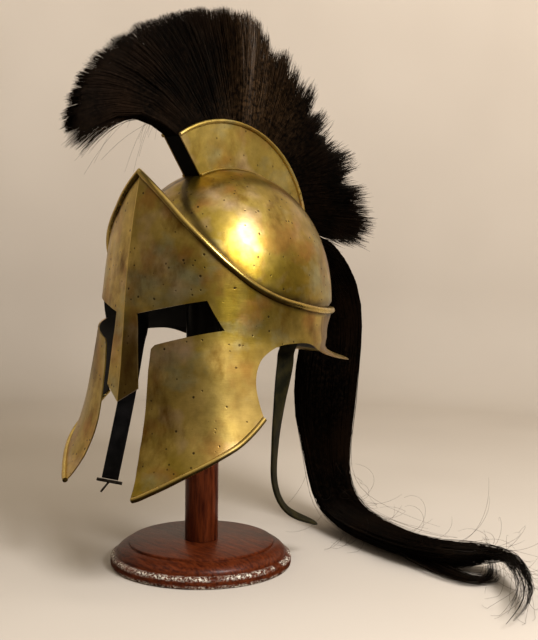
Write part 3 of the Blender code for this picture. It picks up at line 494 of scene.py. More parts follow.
def brass_finish(name, wear, darkened_inside, dulled=0.0):
    """Old brass; wear runs from 0, polished, to 1, well tarnished; dulled adds roughness."""
    made, tree, shader = new_material(name)
    place = object_place(tree)
    slow = clouds(tree, place, 9.0, 5.0)
    middle = clouds(tree, object_place(tree, (1.0, 1.0, 0.6)), 24.0, 5.0, 0.6)
    fine = clouds(tree, place, 95.0, 4.0, 0.65)
    colour = blend_colours(tree, spread(tree, slow, 0.36, 0.60, 0.0, 0.15 + 0.8 * wear),
                           BRASS_GOLD, BRASS_OLIVE)
    for bloom, stretch, scale, detail, rough, first, full, strength in BLOOMS:
        patches = clouds(tree, object_place(tree, stretch), scale, detail, rough)
        share = spread(tree, patches, first, full, 0.0, strength * wear)
        colour = blend_colours(tree, share, colour, bloom)
    speckle = spread(tree, fine, 0.35, 0.75, 0.80, 1.14)
    colour = blend_colours(tree, 1.0, colour, grey_of(tree, speckle), "MULTIPLY")
    wide, narrow = [pits(tree, place, *row) for row in PIT_SIZES]
    dots = combine(tree, combine(tree, wide, narrow, "MAXIMUM"), wear)
    colour = blend_colours(tree, combine(tree, dots, 0.9), colour, PIT_COLOUR)
    stripes = spread(tree, clouds(tree, object_place(tree, (9.0, 9.0, 1.0)), 9.0, 2.0),
                     0.28, 0.46)
    for box, stain in ((NAPE_RUST, BRASS_RUST), (NAPE_BROWN, BRASS_BROWN)):
        nape = combine(tree, region(tree, place, *box), stripes)
        colour = blend_colours(tree, combine(tree, nape, 0.80), colour, stain)
    # painted shade: the near face of the nasal and the rear of the cheek are darkened, which
    # keeps the lamp's reflection off the cheek
    nasal = region(tree, place, *NASAL_PAINTED_SHADE)
    colour = blend_colours(tree, combine(tree, nasal, 0.72), colour, BRASS_PAINTED_SHADE)
    jaw = region(tree, place, *JAW_PAINTED_SHADE)
    colour = blend_colours(tree, combine(tree, jaw, 0.66), colour, BRASS_PAINTED_SHADE)
    # darker brass beside the beads, from an attribute that the sheets carry
    bead_dark = add(tree, "ShaderNodeAttribute", attribute_name="bead_dark").outputs["Fac"]
    colour = blend_colours(tree, combine(tree, bead_dark, 0.80), colour, PIT_COLOUR)
    # painted highlight: bright gold along the keel's ridge, like rubbed brass
    colour = blend_colours(tree, region(tree, place, *RIDGE_HIGHLIGHT), colour, BRASS_GOLD)
    roughness = spread(tree, middle, 0.35, 0.70, 0.24 + 0.05 * wear + dulled,
                       0.30 + 0.14 * wear + dulled)
    roughness = add(tree, "ShaderNodeMix", {0: jaw, 2: roughness, 3: 0.55}).outputs[0]
    if darkened_inside:
        inner = inside_share(tree)
        colour = blend_colours(tree, inner, colour, INSIDE_BLACK)
        roughness = add(tree, "ShaderNodeMix", {0: inner, 2: roughness, 3: 0.75}).outputs[0]
        metal = spread(tree, inner, 0.0, 1.0, 1.0, 0.0)
        tree.links.new(metal, shader.inputs["Metallic"])
    else:
        shader.inputs["Metallic"].default_value = 1.0
    tree.links.new(colour, shader.inputs["Base Color"])
    tree.links.new(roughness, shader.inputs["Roughness"])
    waves = bump(tree, clouds(tree, place, 34.0, 1.0), WAVE_DEPTH * wear)
    scratches = clouds(tree, object_place(tree, (1.0, 1.0, 14.0)), 120.0, 3.0, 0.7)
    grain = bump(tree, scratches, SCRATCH_DEPTH, waves)
    sunk = bump(tree, spread(tree, dots, 0.0, 1.0, 1.0, 0.0), PIT_DEPTH, grain)
    tree.links.new(sunk, shader.inputs["Normal"])
    return made


old_brass = brass_finish("old_brass", 1.0, True)
plate_brass = brass_finish("plate_brass", 0.70, False, 0.16)
bead_brass = brass_finish("bead_brass", 0.22, False)
for finish in (old_brass, plate_brass, bead_brass):
    print(finish.name, len(finish.node_tree.nodes), "nodes")

# %% [markdown]
# ## Face mask
#
# The mask is one bent sheet of brass: a tall brow that comes to a point, a keeled nasal, and
# cheek plates that flare at the foot. A flat grid is the simplest start. Each of its points is
# moved onto the sheet's surface, which is a rounded plan at every height, read from a short
# table. The sheet is given its thickness, and the openings are cut through it afterwards.

# %% Sizes of the head
BROW_HALF_WIDTH = 0.1035
FRONT_REACH = 0.118
REAR_REACH = 0.112
CHEEK_TIP_Z = 0.090
PEAK_Z = 0.384
NAPE_FILLET_Z = 0.2515
FLANGE_REACH = 0.027
KEEL_DEPTH = 0.006
KEEL_HALF_WIDTH = 0.040
SHEET = 0.0014

# height is the share of the way from the cheek tips to the peak
#   height reach  width  fullness of the plan
FACE_SECTIONS = (
    (-0.05, 1.360, 1.450, 2.80),
    (0.000, 1.314, 1.440, 2.80),
    (0.034, 1.254, 1.420, 2.80),
    (0.068, 1.203, 1.395, 2.80),
    (0.119, 1.145, 1.335, 2.80),
    (0.180, 1.090, 1.265, 2.80),
    (0.255, 1.052, 1.193, 2.80),
    (0.323, 1.030, 1.143, 2.80),
    (0.391, 1.014, 1.092, 2.80),
    (0.463, 1.000, 1.036, 2.80),
    (0.510, 0.988, 1.015, 2.80),
    (0.605, 0.970, 1.005, 2.65),
    (0.721, 0.941, 1.005, 2.50),
    (0.861, 0.890, 1.000, 2.35),
    (1.000, 0.830, 0.995, 2.30),
)
#   height reach  width  flare
NECK_SECTIONS = (
    (0.370, 0.880, 0.960, 1.250),
    (0.386, 0.880, 0.962, 1.000),
    (0.398, 0.880, 0.964, 0.640),
    (0.412, 0.880, 0.966, 0.300),
    (0.430, 0.883, 0.972, 0.060),
    (0.450, 0.890, 0.992, 0.000),
    (0.463, 0.897, 1.000, 0.000),
    (0.497, 0.925, 1.000, 0.000),
    (0.520, 0.960, 1.000, 0.000),
    (0.540, 0.995, 1.000, 0.000),
    (0.555, 1.000, 1.000, 0.000),
    (1.000, 1.000, 1.000, 0.000),
)
NECK_BAND_SHARE = 0.463
FLARE_FIRST = math.radians(16.0)
FLARE_LAST = math.radians(40.0)
print("head", round(2.0 * BROW_HALF_WIDTH, 3), "m wide at the brow,",
      round(PEAK_Z - CHEEK_TIP_Z, 3), "m from the cheek tips to the peak")

# %% [markdown]
# The tables are read through a smooth curve, so a few rows are enough. The front of the plan is
# a rounded rectangle whose fullness changes with the height, with the keel added on its ridge.
# The rear is an oval that flares out into the neck flange.

# %% Plan of the head

def height_at(share):
    return CHEEK_TIP_Z + share * (PEAK_Z - CHEEK_TIP_Z)


def share_at(height):
    return (height - CHEEK_TIP_Z) / (PEAK_Z - CHEEK_TIP_Z)


def face_section(height):
    """Reach, half width and fullness of the mask's front at a height."""
    share = share_at(height)
    return (FRONT_REACH * smooth_value(FACE_SECTIONS, share, 1),
            BROW_HALF_WIDTH * smooth_value(FACE_SECTIONS, share, 2),
            smooth_value(FACE_SECTIONS, share, 3))


def neck_section(height):
    """Reach, half width and flare of the mask's rear at a height."""
    share = share_at(height)
    band = max(share, NECK_BAND_SHARE)
    half_width = BROW_HALF_WIDTH * smooth_value(FACE_SECTIONS, band, 2)
    return (REAR_REACH * smooth_value(NECK_SECTIONS, share, 1),
            half_width * smooth_value(NECK_SECTIONS, share, 2),
            FLANGE_REACH * smooth_value(NECK_SECTIONS, share, 3))


def face_point(angle, height):
    """Point of the mask's front at a plan angle from its ridge."""
    reach, half_width, fullness = face_section(height)
    power = 2.0 / fullness
    across = half_width * math.sin(angle) ** power
    forward = reach * max(math.cos(angle), 0.0) ** power
    ridge = KEEL_DEPTH * max(0.0, 1.0 - across / KEEL_HALF_WIDTH)
    return Vector((across, HEAD_MIDDLE_Y - forward - ridge, height))


def neck_point(angle, height):
    """Point of the mask's rear at a plan angle from its widest place."""
    reach, half_width, flare = neck_section(height)
    flare *= eased((angle - FLARE_FIRST) / (FLARE_LAST - FLARE_FIRST))
    across = (half_width + flare) * max(math.cos(angle), 0.0)
    return Vector((across, HEAD_MIDDLE_Y + (reach + flare) * math.sin(angle), height))


print("ridge at the peak:", [round(value, 4) for value in face_point(0.0, PEAK_Z)])

# %% [markdown]
# The rolled fillet follows one line, from the peak down to the nape, so the sheet's top edge and
# the fillet's wire are both read from the same table. Points along the plan are spaced by
# walking round it, which keeps the grid even where the plan turns sharply.

# %% Even spacing round the plan
MIDDLE_HEIGHT = 0.5 * (PEAK_Z + NAPE_FILLET_Z)
PLAN_SAMPLES = 400

#   arc    drop, as shares of the brow's reach and of the fall from the peak to the nape
FILLET_LINE = (
    (0.000, 0.000),
    (0.144, 0.081),
    (0.297, 0.185),
    (0.458, 0.312),
    (0.636, 0.454),
    (0.864, 0.630),
    (1.119, 0.788),
    (1.415, 0.900),
    (1.737, 0.962),
    (2.119, 0.988),
    (3.100, 1.000),
)


def plan_walk():
    """Arc length, side and plan angle all the way from the ridge to the nape."""
    walk = []
    arc = 0.0
    previous = face_point(0.0, MIDDLE_HEIGHT)
    for side, point_at in (("front", face_point), ("rear", neck_point)):
        for index in range(PLAN_SAMPLES + 1):
            angle = 0.5 * math.pi * index / PLAN_SAMPLES
            here = point_at(angle, MIDDLE_HEIGHT)
            arc += (here - previous).length
            previous = here
            walk.append((arc, side, angle))
    return walk


PLAN_WALK = plan_walk()


def plan_at(share):
    """Side, plan angle and arc at a share of the way from the ridge to the nape."""
    target = share * PLAN_WALK[-1][0]
    low, high = 0, len(PLAN_WALK) - 1
    while high - low > 1:
        middle = (low + high) // 2
        if PLAN_WALK[middle][0] < target:
            low = middle
        else:
            high = middle
    first, second = PLAN_WALK[low], PLAN_WALK[high]
    if first[1] != second[1]:
        return second[1], 0.0, target
    part = (target - first[0]) / max(second[0] - first[0], 1e-9)
    return first[1], first[2] + part * (second[2] - first[2]), target


def fillet_height(arc):
    drop = smooth_value(FILLET_LINE, arc / FRONT_REACH, 1)
    return PEAK_Z - drop * (PEAK_Z - NAPE_FILLET_Z)


print("half way round the plan:", round(PLAN_WALK[-1][0], 4), "m")

# %% [markdown]
# Now the grid becomes the sheet. Its long side runs round the head and its short side runs from
# the fillet down. The foot of the grid reaches below the cheek plates in front and below the
# neck flange behind; what is too long is cut away in the next step. Hand-beaten metal is never
# perfectly even, so each point also moves in or out by a fraction of a millimetre.

# %% Sheet of the mask
MASK_COLUMNS = 120
MASK_ROWS = 84
FACE_FOOT_SHARE = -0.035
NECK_FOOT_SHARE = 0.374
FOOT_TURN_FIRST = -0.052      # along Y from the widest place, where the foot starts to rise
FOOT_TURN_LAST = 0.030
# how far beside a bead the brass is darkened
BEAD_DARK_REACH = 0.0070
BEAD_DARK_SOFT = 0.0036
BEATEN_DEPTH = 0.00035
BEATEN_SIZE = 0.030


def beaten(point):
    return BEATEN_DEPTH * noise.noise(point / BEATEN_SIZE)


def dark_near_bead(distance):
    """Darkening beside a bead: full at the bead, and none from a few millimetres off."""
    return min(max((BEAD_DARK_REACH - distance) / BEAD_DARK_SOFT, 0.0), 1.0)


def mask_point(round_share, down_share):
    side, angle, arc = plan_at(round_share)
    point_at = face_point if side == "front" else neck_point
    top = fillet_height(arc)
    along = point_at(angle, height_at(NECK_BAND_SHARE)).y - HEAD_MIDDLE_Y
    rise = min(max((along - FOOT_TURN_FIRST) / (FOOT_TURN_LAST - FOOT_TURN_FIRST), 0.0), 1.0)
    foot = height_at(FACE_FOOT_SHARE + rise * (NECK_FOOT_SHARE - FACE_FOOT_SHARE))
    point = point_at(angle, top + (foot - top) * down_share)
    outward = Vector((point.x, point.y - HEAD_MIDDLE_Y, 0.0)).normalized()
    return point + outward * beaten(point)


def mask_sheet():
    work = bmesh.new()
    bead_dark = work.verts.layers.float.new("bead_dark")
    bmesh.ops.create_grid(work, x_segments=MASK_COLUMNS, y_segments=MASK_ROWS, size=0.5)
    for vertex in work.verts:
        round_share = vertex.co.x + 0.5
        top = fillet_height(plan_at(round_share)[2])
        vertex.co = mask_point(round_share, 0.5 - vertex.co.y)
        vertex[bead_dark] = dark_near_bead(top - vertex.co.z)
        if abs(vertex.co.x) < 1e-6:
            vertex.co.x = 0.0
    bmesh.ops.mirror(work, geom=work.faces[:] + work.edges[:] + work.verts[:], axis="X",
                     merge_dist=1e-5)
    bmesh.ops.remove_doubles(work, verts=work.verts, dist=1e-6)
    bmesh.ops.recalc_face_normals(work, faces=work.faces)
    heart = Vector((0.0, HEAD_MIDDLE_Y, HEAD_MIDDLE_Z))
    outward = sum(face.normal.dot(face.calc_center_median() - heart) for face in work.faces)
    if outward < 0.0:
        bmesh.ops.reverse_faces(work, faces=work.faces)
    return work


sheet_work = mask_sheet()
sheet_mesh = bpy.data.meshes.new("face_mask_sheet")
sheet_work.to_mesh(sheet_mesh)
sheet_work.free()
mask = bpy.data.objects.new("face_mask_sheet", sheet_mesh)
bpy.context.scene.collection.objects.link(mask)
thicken = mask.modifiers.new("sheet", "SOLIDIFY")
thicken.thickness = SHEET
thicken.offset = -1.0
thicken.use_even_offset = True
mask = as_mesh(mask)
print("mask sheet:", len(mask.data.polygons), "faces")

# %% [markdown]
# The eye openings and the mouth gap are one outline seen from the front, and the cheeks' feet
# and the arches behind them are one outline seen from the side. Both are drawn as shares of the
# head's sizes, with straight edges where the real ones are straight.

# %% Outlines of the openings
#   across as a share of the brow's half width, height share
FACE_OPENING = (
    (0.000, 0.276),
    (0.227, 0.323),
    (0.150, 0.556),
    (0.770, 0.604),
    (0.884, 0.514),
    (0.375, 0.463),
    (0.340, 0.450),
    (0.329, 0.384),
    (0.338, 0.293),
    (0.348, 0.201),
    (0.367, 0.143),
    (0.406, 0.085),
    (0.493, 0.005),
    (0.560, -0.05),
    (0.560, -0.15),
)
#   along behind the widest place as a share of the brow's reach, height share
CHEEK_FOOT_LINE = (
    (-1.347, -0.030),
    (-1.280, 0.005),
    (-1.203, 0.032),
    (-1.066, 0.079),
    (-0.958, 0.110),
    (-0.833, 0.1415),
    (-0.685, 0.1765),
    (-0.550, 0.2165),
    (-0.460, 0.2465),
)
ARCH_LINE = (
    (-0.460, 0.2465),
    (-0.479, 0.298),
    (-0.479, 0.350),
    (-0.440, 0.398),
    (-0.360, 0.433),
    (-0.200, 0.460),
    (0.017, 0.464),
    (0.160, 0.457),
    (0.300, 0.436),
    (0.458, 0.411),
    (0.627, 0.394),
    (0.850, 0.387),
    (1.600, 0.385),
)
print("openings drawn with", len(FACE_OPENING) + len(CHEEK_FOOT_LINE) + len(ARCH_LINE), "points")

# %% [markdown]
# Each outline is filled as a flat curve, extruded to both sides and taken away with a Boolean,
# just as a fret saw would cut it. The sheet already has its thickness, so the cut edges are
# square, and weighted normals keep the broad faces even beside them.

# %% Cutting the openings
FRONT_VIEW = (0.5 * math.pi, 0.0, 0.0)
SIDE_VIEW = (0.5 * math.pi, 0.0, 0.5 * math.pi)
CUT_DEPTH = 0.060
CHEEK_STEPS = 48
ARCH_STEPS = 72
KEEL_ANGLE = 12.0             # degrees; the keel is less sharp than other edges


def smooth_line(points, count):
    """Evenly counted points on a smooth curve through the given points."""
    rows = [(index,) + tuple(point) for index, point in enumerate(points)]
    result = []
    for number in range(count + 1):
        key = (len(points) - 1) * number / count
        result.append(tuple(smooth_value(rows, key, column + 1)
                            for column in range(len(points[0]))))
    return result


def side_line(table):
    return [(HEAD_MIDDLE_Y + along * FRONT_REACH, height_at(share)) for along, share in table]


def cutter_from(name, outline, half_depth, turn, place):
    """A solid with the outline as its section, to cut with."""
    curve = bpy.data.curves.new(name, "CURVE")
    curve.dimensions = "2D"
    curve.fill_mode = "BOTH"
    curve.extrude = half_depth
    spline = curve.splines.new("POLY")
    spline.points.add(len(outline) - 1)
    for point, (first, second) in zip(spline.points, outline):
        point.co = (first, second, 0.0, 1.0)
    spline.use_cyclic_u = True
    made = bpy.data.objects.new(name, curve)
    bpy.context.scene.collection.objects.link(made)
    made.rotation_euler = turn
    made.location = place
    return as_mesh(made)


def cut_away(target, cutter):
    modifier = target.modifiers.new("cut", "BOOLEAN")
    modifier.operation = "DIFFERENCE"
    modifier.object = cutter
    modifier.solver = "EXACT"


right_side = [(across * BROW_HALF_WIDTH, height_at(share)) for across, share in FACE_OPENING]
left_side = [(-across, height) for across, height in reversed(right_side[1:])]
front_cutter = cutter_from("front_cutter", right_side + left_side, CUT_DEPTH, FRONT_VIEW,
                           (0.0, HEAD_MIDDLE_Y - FRONT_REACH, 0.0))
foot_line = smooth_line(side_line(CHEEK_FOOT_LINE), CHEEK_STEPS)
arch_line = smooth_line(side_line(ARCH_LINE), ARCH_STEPS)
floor_z = CHEEK_TIP_Z - CUT_DEPTH
below = foot_line + arch_line[1:] + [(arch_line[-1][0], floor_z), (foot_line[0][0], floor_z)]
foot_cutter = cutter_from("foot_cutter", below, 2.0 * BROW_HALF_WIDTH, SIDE_VIEW, (0, 0, 0))
cut_away(mask, front_cutter)
cut_away(mask, foot_cutter)
mask = as_mesh(mask)
for cutter in (front_cutter, foot_cutter):
    bpy.data.objects.remove(cutter)
mask.name = "mask_sheet"
ride_piece(mask, old_brass, KEEL_ANGLE)
even_shading = mask.modifiers.new("even_shading", "WEIGHTED_NORMAL")
even_shading.keep_sharp = True
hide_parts("face_mask")
print("mask:", len(mask.data.polygons), "faces after cutting")

# %% [markdown]
# ## Rolled beads
#
# A round wire is soldered along the mask's top edge, and a thinner one under each cheek plate.
# A curve with a round bevel is the natural way to make a wire: it only needs its line. The line
# of the fillet stands a little outside the sheet, so the wire wraps the sheet's edge.

# %% Wires
FILLET_RADIUS = 0.0027
FILLET_SWELL = 1.12           # the wire with its solder
FILLET_OUTSIDE = 0.0006
CHEEK_BEAD_RADIUS = 0.0027
FILLET_STEPS = 90


def wire(name, lines, radius, material):
    """Round wires through the points, made one piece."""
    curve = bpy.data.curves.new(name, "CURVE")
    curve.dimensions = "3D"
    curve.bevel_depth = radius
    curve.bevel_resolution = 4
    curve.use_fill_caps = True
    for points, closed in lines:
        spline = curve.splines.new("POLY")
        spline.points.add(len(points) - 1)
        for point, place in zip(spline.points, points):
            point.co = (*place, 1.0)
        spline.use_cyclic_u = closed
    made = bpy.data.objects.new(name, curve)
    bpy.context.scene.collection.objects.link(made)
    made = as_mesh(made)
    ride_piece(made, material)


def half_width_at(along, height):
    """Half width of the mask's outside at a place along Y and a height."""
    if along < HEAD_MIDDLE_Y:
        reach, half_width, fullness = face_section(height)
    else:
        reach, half_width, _ = neck_section(height)
        fullness = 2.0
    share = min(abs(along - HEAD_MIDDLE_Y) / reach, 1.0)
    return half_width * (1.0 - share ** fullness) ** (1.0 / fullness)


def fillet_line():
    half = []
    for step in range(FILLET_STEPS + 1):
        side, angle, arc = plan_at(step / FILLET_STEPS)
        point_at = face_point if side == "front" else neck_point
        point = point_at(angle, fillet_height(arc))
        outward = Vector((point.x, point.y - HEAD_MIDDLE_Y, 0.0)).normalized()
        half.append(point + outward * FILLET_OUTSIDE)
    half[0].x = 0.0
    half[-1].x = 0.0
    other = [Vector((-point.x, point.y, point.z)) for point in reversed(half[1:-1])]
    return half + other


def cheek_bead_line(side):
    line = smooth_line(side_line(CHEEK_FOOT_LINE[1:]), CHEEK_STEPS)
    return [Vector((side * half_width_at(along, height), along, height))
            for along, height in line]


wire("fillet_wire", [(fillet_line(), True)], FILLET_SWELL * FILLET_RADIUS, bead_brass)
wire("cheek_wires", [(cheek_bead_line(1), False), (cheek_bead_line(-1), False)],
     CHEEK_BEAD_RADIUS, bead_brass)
print("fillet and cheek beads made")

# %% [markdown]
# ## Dome
#
# The skull is a turned shape squeezed to the head's oval, with a slight swell over the fillet at
# the back. Spinning a profile gives clean rings, which the highlight needs: any dent in the
# rings would show in it. The rings are then pulled to the oval and beaten as the mask is.

# %% Skull
SKULL_TOP_Z = 0.391
SKULL_SPRING_Z = 0.255
SKULL_SIDE_GAP = 0.0024
SKULL_REAR_GAP = 0.0015
SKULL_HALF_WIDTH = BROW_HALF_WIDTH - SHEET - SKULL_SIDE_GAP
SKULL_HALF_LENGTH = REAR_REACH - SHEET - SKULL_REAR_GAP
SKULL_FULLNESS = 2.2
SKULL_SWELL = 0.0042
SWELL_SPREAD = 0.7
SWELL_RISE = 0.006
SWELL_FOOT = NAPE_FILLET_Z + FILLET_RADIUS + 0.0003
SKULL_RIM_Z = 0.2495
DOME_RINGS = 44
DOME_STEPS = 144
DOME_BEATEN = 0.6             # the dome is beaten more evenly than the mask


def dome_profile():
    points = []
    for index in range(DOME_RINGS + 1):
        angle = 0.5 * math.pi * index / DOME_RINGS
        power = 2.0 / SKULL_FULLNESS
        points.append((math.sin(angle) ** power,
                       SKULL_SPRING_Z
                       + max(math.cos(angle), 0.0) ** power * (SKULL_TOP_Z - SKULL_SPRING_Z)))
    return points + [(1.0, SWELL_FOOT), (1.0, SKULL_RIM_Z)]


def swell_at(height):
    """Share of the swell at a height: none at its foot and at the top of the dome."""
    high = min(max((SKULL_TOP_Z - height) / (SKULL_TOP_Z - SWELL_FOOT), 0.0), 1.0)
    return eased((height - SWELL_FOOT) / SWELL_RISE) * high * (2.0 - high)


def fillet_height_round():
    """Height of the fillet by the angle round the head from its front, in rows."""
    rows = []
    for point in fillet_line()[:FILLET_STEPS + 1]:
        rows.append((math.atan2(point.x, HEAD_MIDDLE_Y - point.y), point.z))
    rows[0] = (0.0, rows[0][1])
    rows[-1] = (math.pi, rows[-1][1])
    return rows


FILLET_ROUND = fillet_height_round()


def build_dome():
    work = bmesh.new()
    bead_dark = work.verts.layers.float.new("bead_dark")
    vertices = [work.verts.new((radius, 0.0, height)) for radius, height in dome_profile()]
    edges = [work.edges.new(pair) for pair in zip(vertices, vertices[1:])]
    bmesh.ops.spin(work, geom=vertices + edges, axis=(0, 0, 1), cent=(0, 0, 0),
                   angle=2.0 * math.pi, steps=DOME_STEPS, use_merge=True)
    bmesh.ops.remove_doubles(work, verts=work.verts, dist=1e-5)
    for vertex in work.verts:
        place = Vector((vertex.co.x * SKULL_HALF_WIDTH, vertex.co.y * SKULL_HALF_LENGTH,
                        vertex.co.z))
        rear = min(max(place.y / (SKULL_HALF_LENGTH * SWELL_SPREAD), 0.0), 1.0)
        outward = Vector((place.x, place.y, 0.0)).normalized()
        swell = SKULL_SWELL * swell_at(place.z) * rear * rear * (3.0 - 2.0 * rear)
        place += outward * (swell + DOME_BEATEN * beaten(place))
        round_angle = math.atan2(abs(place.x), -place.y)
        above = place.z - smooth_value(FILLET_ROUND, round_angle, 1)
        vertex[bead_dark] = dark_near_bead(abs(above - FILLET_RADIUS))
        vertex.co = place + Vector((0.0, HEAD_MIDDLE_Y, 0.0))
    bmesh.ops.recalc_face_normals(work, faces=work.faces)
    return work


dome = piece_from(build_dome(), "skull_sheet", old_brass)
print("dome:", len(dome.data.polygons), "faces before its thickness")

# %% [markdown]
# The dome's rim lies hidden behind the mask, a little below the fillet. It follows the fillet's
# fall from front to back, so it is cut along a line seen from the side, as the openings were.

# %% Rim of the skull
RIM_STEPS = 32
#   along behind the widest place as a share of the brow's reach, height share
RIM_LINE = (
    (-1.100, 0.660),
    (-0.700, 0.640),
    (-0.220, 0.590),
    (0.250, 0.558),
    (0.700, 0.545),
    (1.200, 0.540),
)
shell = dome.modifiers.new("sheet", "SOLIDIFY")
shell.thickness = SHEET
shell.offset = -1.0
rim = smooth_line(side_line(RIM_LINE), RIM_STEPS)
rim_cutter = cutter_from("rim_cutter", rim + [(rim[-1][0], floor_z), (rim[0][0], floor_z)],
                         2.0 * BROW_HALF_WIDTH, SIDE_VIEW, (0, 0, 0))
cut_away(dome, rim_cutter)
dome = as_mesh(dome)
bpy.data.objects.remove(rim_cutter)
dome.name = "skull_dome"
ride_piece(dome, old_brass)
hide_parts("skull")
print("dome:", len(dome.data.polygons), "faces as a cut sheet")

# %% [markdown]
# ## Crest box
#
# The crest box is a dark wooden block between two brass plates with rolled lips. The CAD solids
# already have these forms, so they stay, and only take a better finish: old brass on the plates,
# and matt black paint with a little wood grain on the block.

# %% Block and plates
PAINT_BLACK = (0.0012, 0.0011, 0.0010, 1.0)
PAINT_WORN = (0.0060, 0.0050, 0.0036, 1.0)


def painted_wood():
    made, tree, shader = new_material("black_painted_wood")
    grain = clouds(tree, object_place(tree, (6.0, 1.0, 1.0)), 90.0, 5.0, 0.6)
    colour = blend_colours(tree, spread(tree, grain, 0.35, 0.75), PAINT_BLACK, PAINT_WORN)
    shader.inputs["Specular IOR Level"].default_value = 0.05
    tree.links.new(colour, shader.inputs["Base Color"])
    tree.links.new(spread(tree, grain, 0.3, 0.7, 0.7, 0.9), shader.inputs["Roughness"])
    tree.links.new(bump(tree, grain, 0.0003), shader.inputs["Normal"])
    return made


def dress(node, material):
    """A CAD node keeps its shape and takes a new finish."""
    nodes[node].data.materials.clear()
    nodes[node].data.materials.append(material)


dress("crest_block", painted_wood())
for plate in ("crest_plate_left", "crest_plate_right"):
    dress(plate, plate_brass)
print("crest block painted, two plates dressed in", plate_brass.name)

# %% [markdown]
# Each plate ends in a narrow foot that is turned out on the dome. The foot is a thin wire that
# follows the dome's own formula, so it touches all along, and it stops where the plate stops.

# %% Feet of the plates
CREST_MIDDLE = Vector((0.0, 0.017, 0.327))
PLATE_ARC_RADIUS = 0.1105
PLATE_OUTSIDE = 0.0131
FOOT_FIRST = -0.0325          # along Y from the crest's middle
FOOT_LENGTH = 0.1385
FOOT_RADIUS = 0.0014
FOOT_STEPS = 40


def dome_height(across, along):
    """Height of the dome's outside at a place seen from above."""
    flat = math.hypot(across / SKULL_HALF_WIDTH, (along - HEAD_MIDDLE_Y) / SKULL_HALF_LENGTH)
    rise = max(1.0 - min(flat, 1.0) ** SKULL_FULLNESS, 0.0) ** (1.0 / SKULL_FULLNESS)
    return SKULL_SPRING_Z + rise * (SKULL_TOP_Z - SKULL_SPRING_Z)


def plate_foot_line(side):
    """The turned-out foot of a plate, where it lies on the dome."""
    points = []
    for step in range(FOOT_STEPS + 1):
        along = CREST_MIDDLE.y + FOOT_FIRST + FOOT_LENGTH * step / FOOT_STEPS
        height = dome_height(PLATE_OUTSIDE, along) + 0.6 * FOOT_RADIUS
        if math.hypot(along - CREST_MIDDLE.y, height - CREST_MIDDLE.z) < PLATE_ARC_RADIUS:
            points.append(Vector((side * (PLATE_OUTSIDE + 0.5 * FOOT_RADIUS), along, height)))
    return points


wire("crest_plate_feet", [(plate_foot_line(1), False), (plate_foot_line(-1), False)],
     FOOT_RADIUS, bead_brass)
print("plate feet with", len(plate_foot_line(1)), "points each")

# %% [markdown]
# ## Horsehair
#
# The crest and the tail are bundles of long black hair. The hair isn't quite black: it has fine
# brown streaks, and at the back of the fan, where the light falls through it, a painted brown
# sheen.

# %% Hair finish
HAIR_BLACK = (0.0012, 0.0009, 0.0007, 1.0)
HAIR_STREAK = (0.0075, 0.0042, 0.0022, 1.0)
HAIR_WARM = (0.010, 0.0050, 0.0024, 1.0)
# painted sheen: the brown at the back and top of the fan
HAIR_SHEEN_BROWN = (0.040, 0.021, 0.0085, 1.0)
HAIR_SHINE = (1.0, 0.80, 0.62, 1.0)
#     where the painted sheen starts and is full
SHEEN_FROM_FRONT = (0.000, 0.045)
SHEEN_FROM_REAR = (0.130, 0.070)
SHEEN_FROM_BELOW = (0.400, 0.450)


def hair_finish():
    made, tree, shader = new_material("black_horsehair")
    streaks = clouds(tree, object_place(tree), 260.0, 2.0, 0.6)
    warm = clouds(tree, object_place(tree), 16.0, 2.0)
    colour = blend_colours(tree, spread(tree, streaks, 0.45, 0.75), HAIR_BLACK, HAIR_STREAK)
    colour = blend_colours(tree, spread(tree, warm, 0.45, 0.7, 0.0, 0.6), colour, HAIR_WARM)
    apart = add(tree, "ShaderNodeSeparateXYZ", {0: object_place(tree)})
    rear = combine(tree, spread(tree, apart.outputs["Y"], *SHEEN_FROM_FRONT),
                   spread(tree, apart.outputs["Y"], *SHEEN_FROM_REAR))
    rear = combine(tree, rear, spread(tree, apart.outputs["Z"], *SHEEN_FROM_BELOW))
    # painted sheen: the colour turns brown at the back and top of the fan, where light falls
    # through the hair
    brown = combine(tree, rear, spread(tree, streaks, 0.36, 0.66))
    colour = blend_colours(tree, brown, colour, HAIR_SHEEN_BROWN)
    tree.links.new(spread(tree, rear, 0.0, 1.0, 0.05, 0.20),
                   shader.inputs["Specular IOR Level"])
    tree.links.new(colour, shader.inputs["Base Color"])
    tree.links.new(spread(tree, streaks, 0.3, 0.7, 0.34, 0.52), shader.inputs["Roughness"])
    shader.inputs["Specular Tint"].default_value = HAIR_SHINE
    return made


black_hair = hair_finish()
print(black_hair.name, len(black_hair.node_tree.nodes), "nodes")

# %% [markdown]
# Hair reads as hair only if single strands show, so each bundle is made of thousands of thin
# tapering wires round a dark core. One curve object holds all the strands of a piece, since
# Blender turns a curve with a bevel object into a mesh of thin tubes in one step. A triangle is
# enough for the section of a hair, and keeps the mesh small.

# %% Strands
TAPER_FROM_ROOT = 4.0         # a strand has its full radius after a quarter of its length


def triangle_outline():
    """A small triangle, the section of a strand."""
    curve = bpy.data.curves.new("strand_section", "CURVE")
    spline = curve.splines.new("POLY")
    spline.points.add(2)
    for index, point in enumerate(spline.points):
        turn = 2.0 * math.pi * index / 3
        point.co = (math.cos(turn), math.sin(turn), 0.0, 1.0)
    spline.use_cyclic_u = True
    made = bpy.data.objects.new("strand_section", curve)
    bpy.context.scene.collection.objects.link(made)
    return made


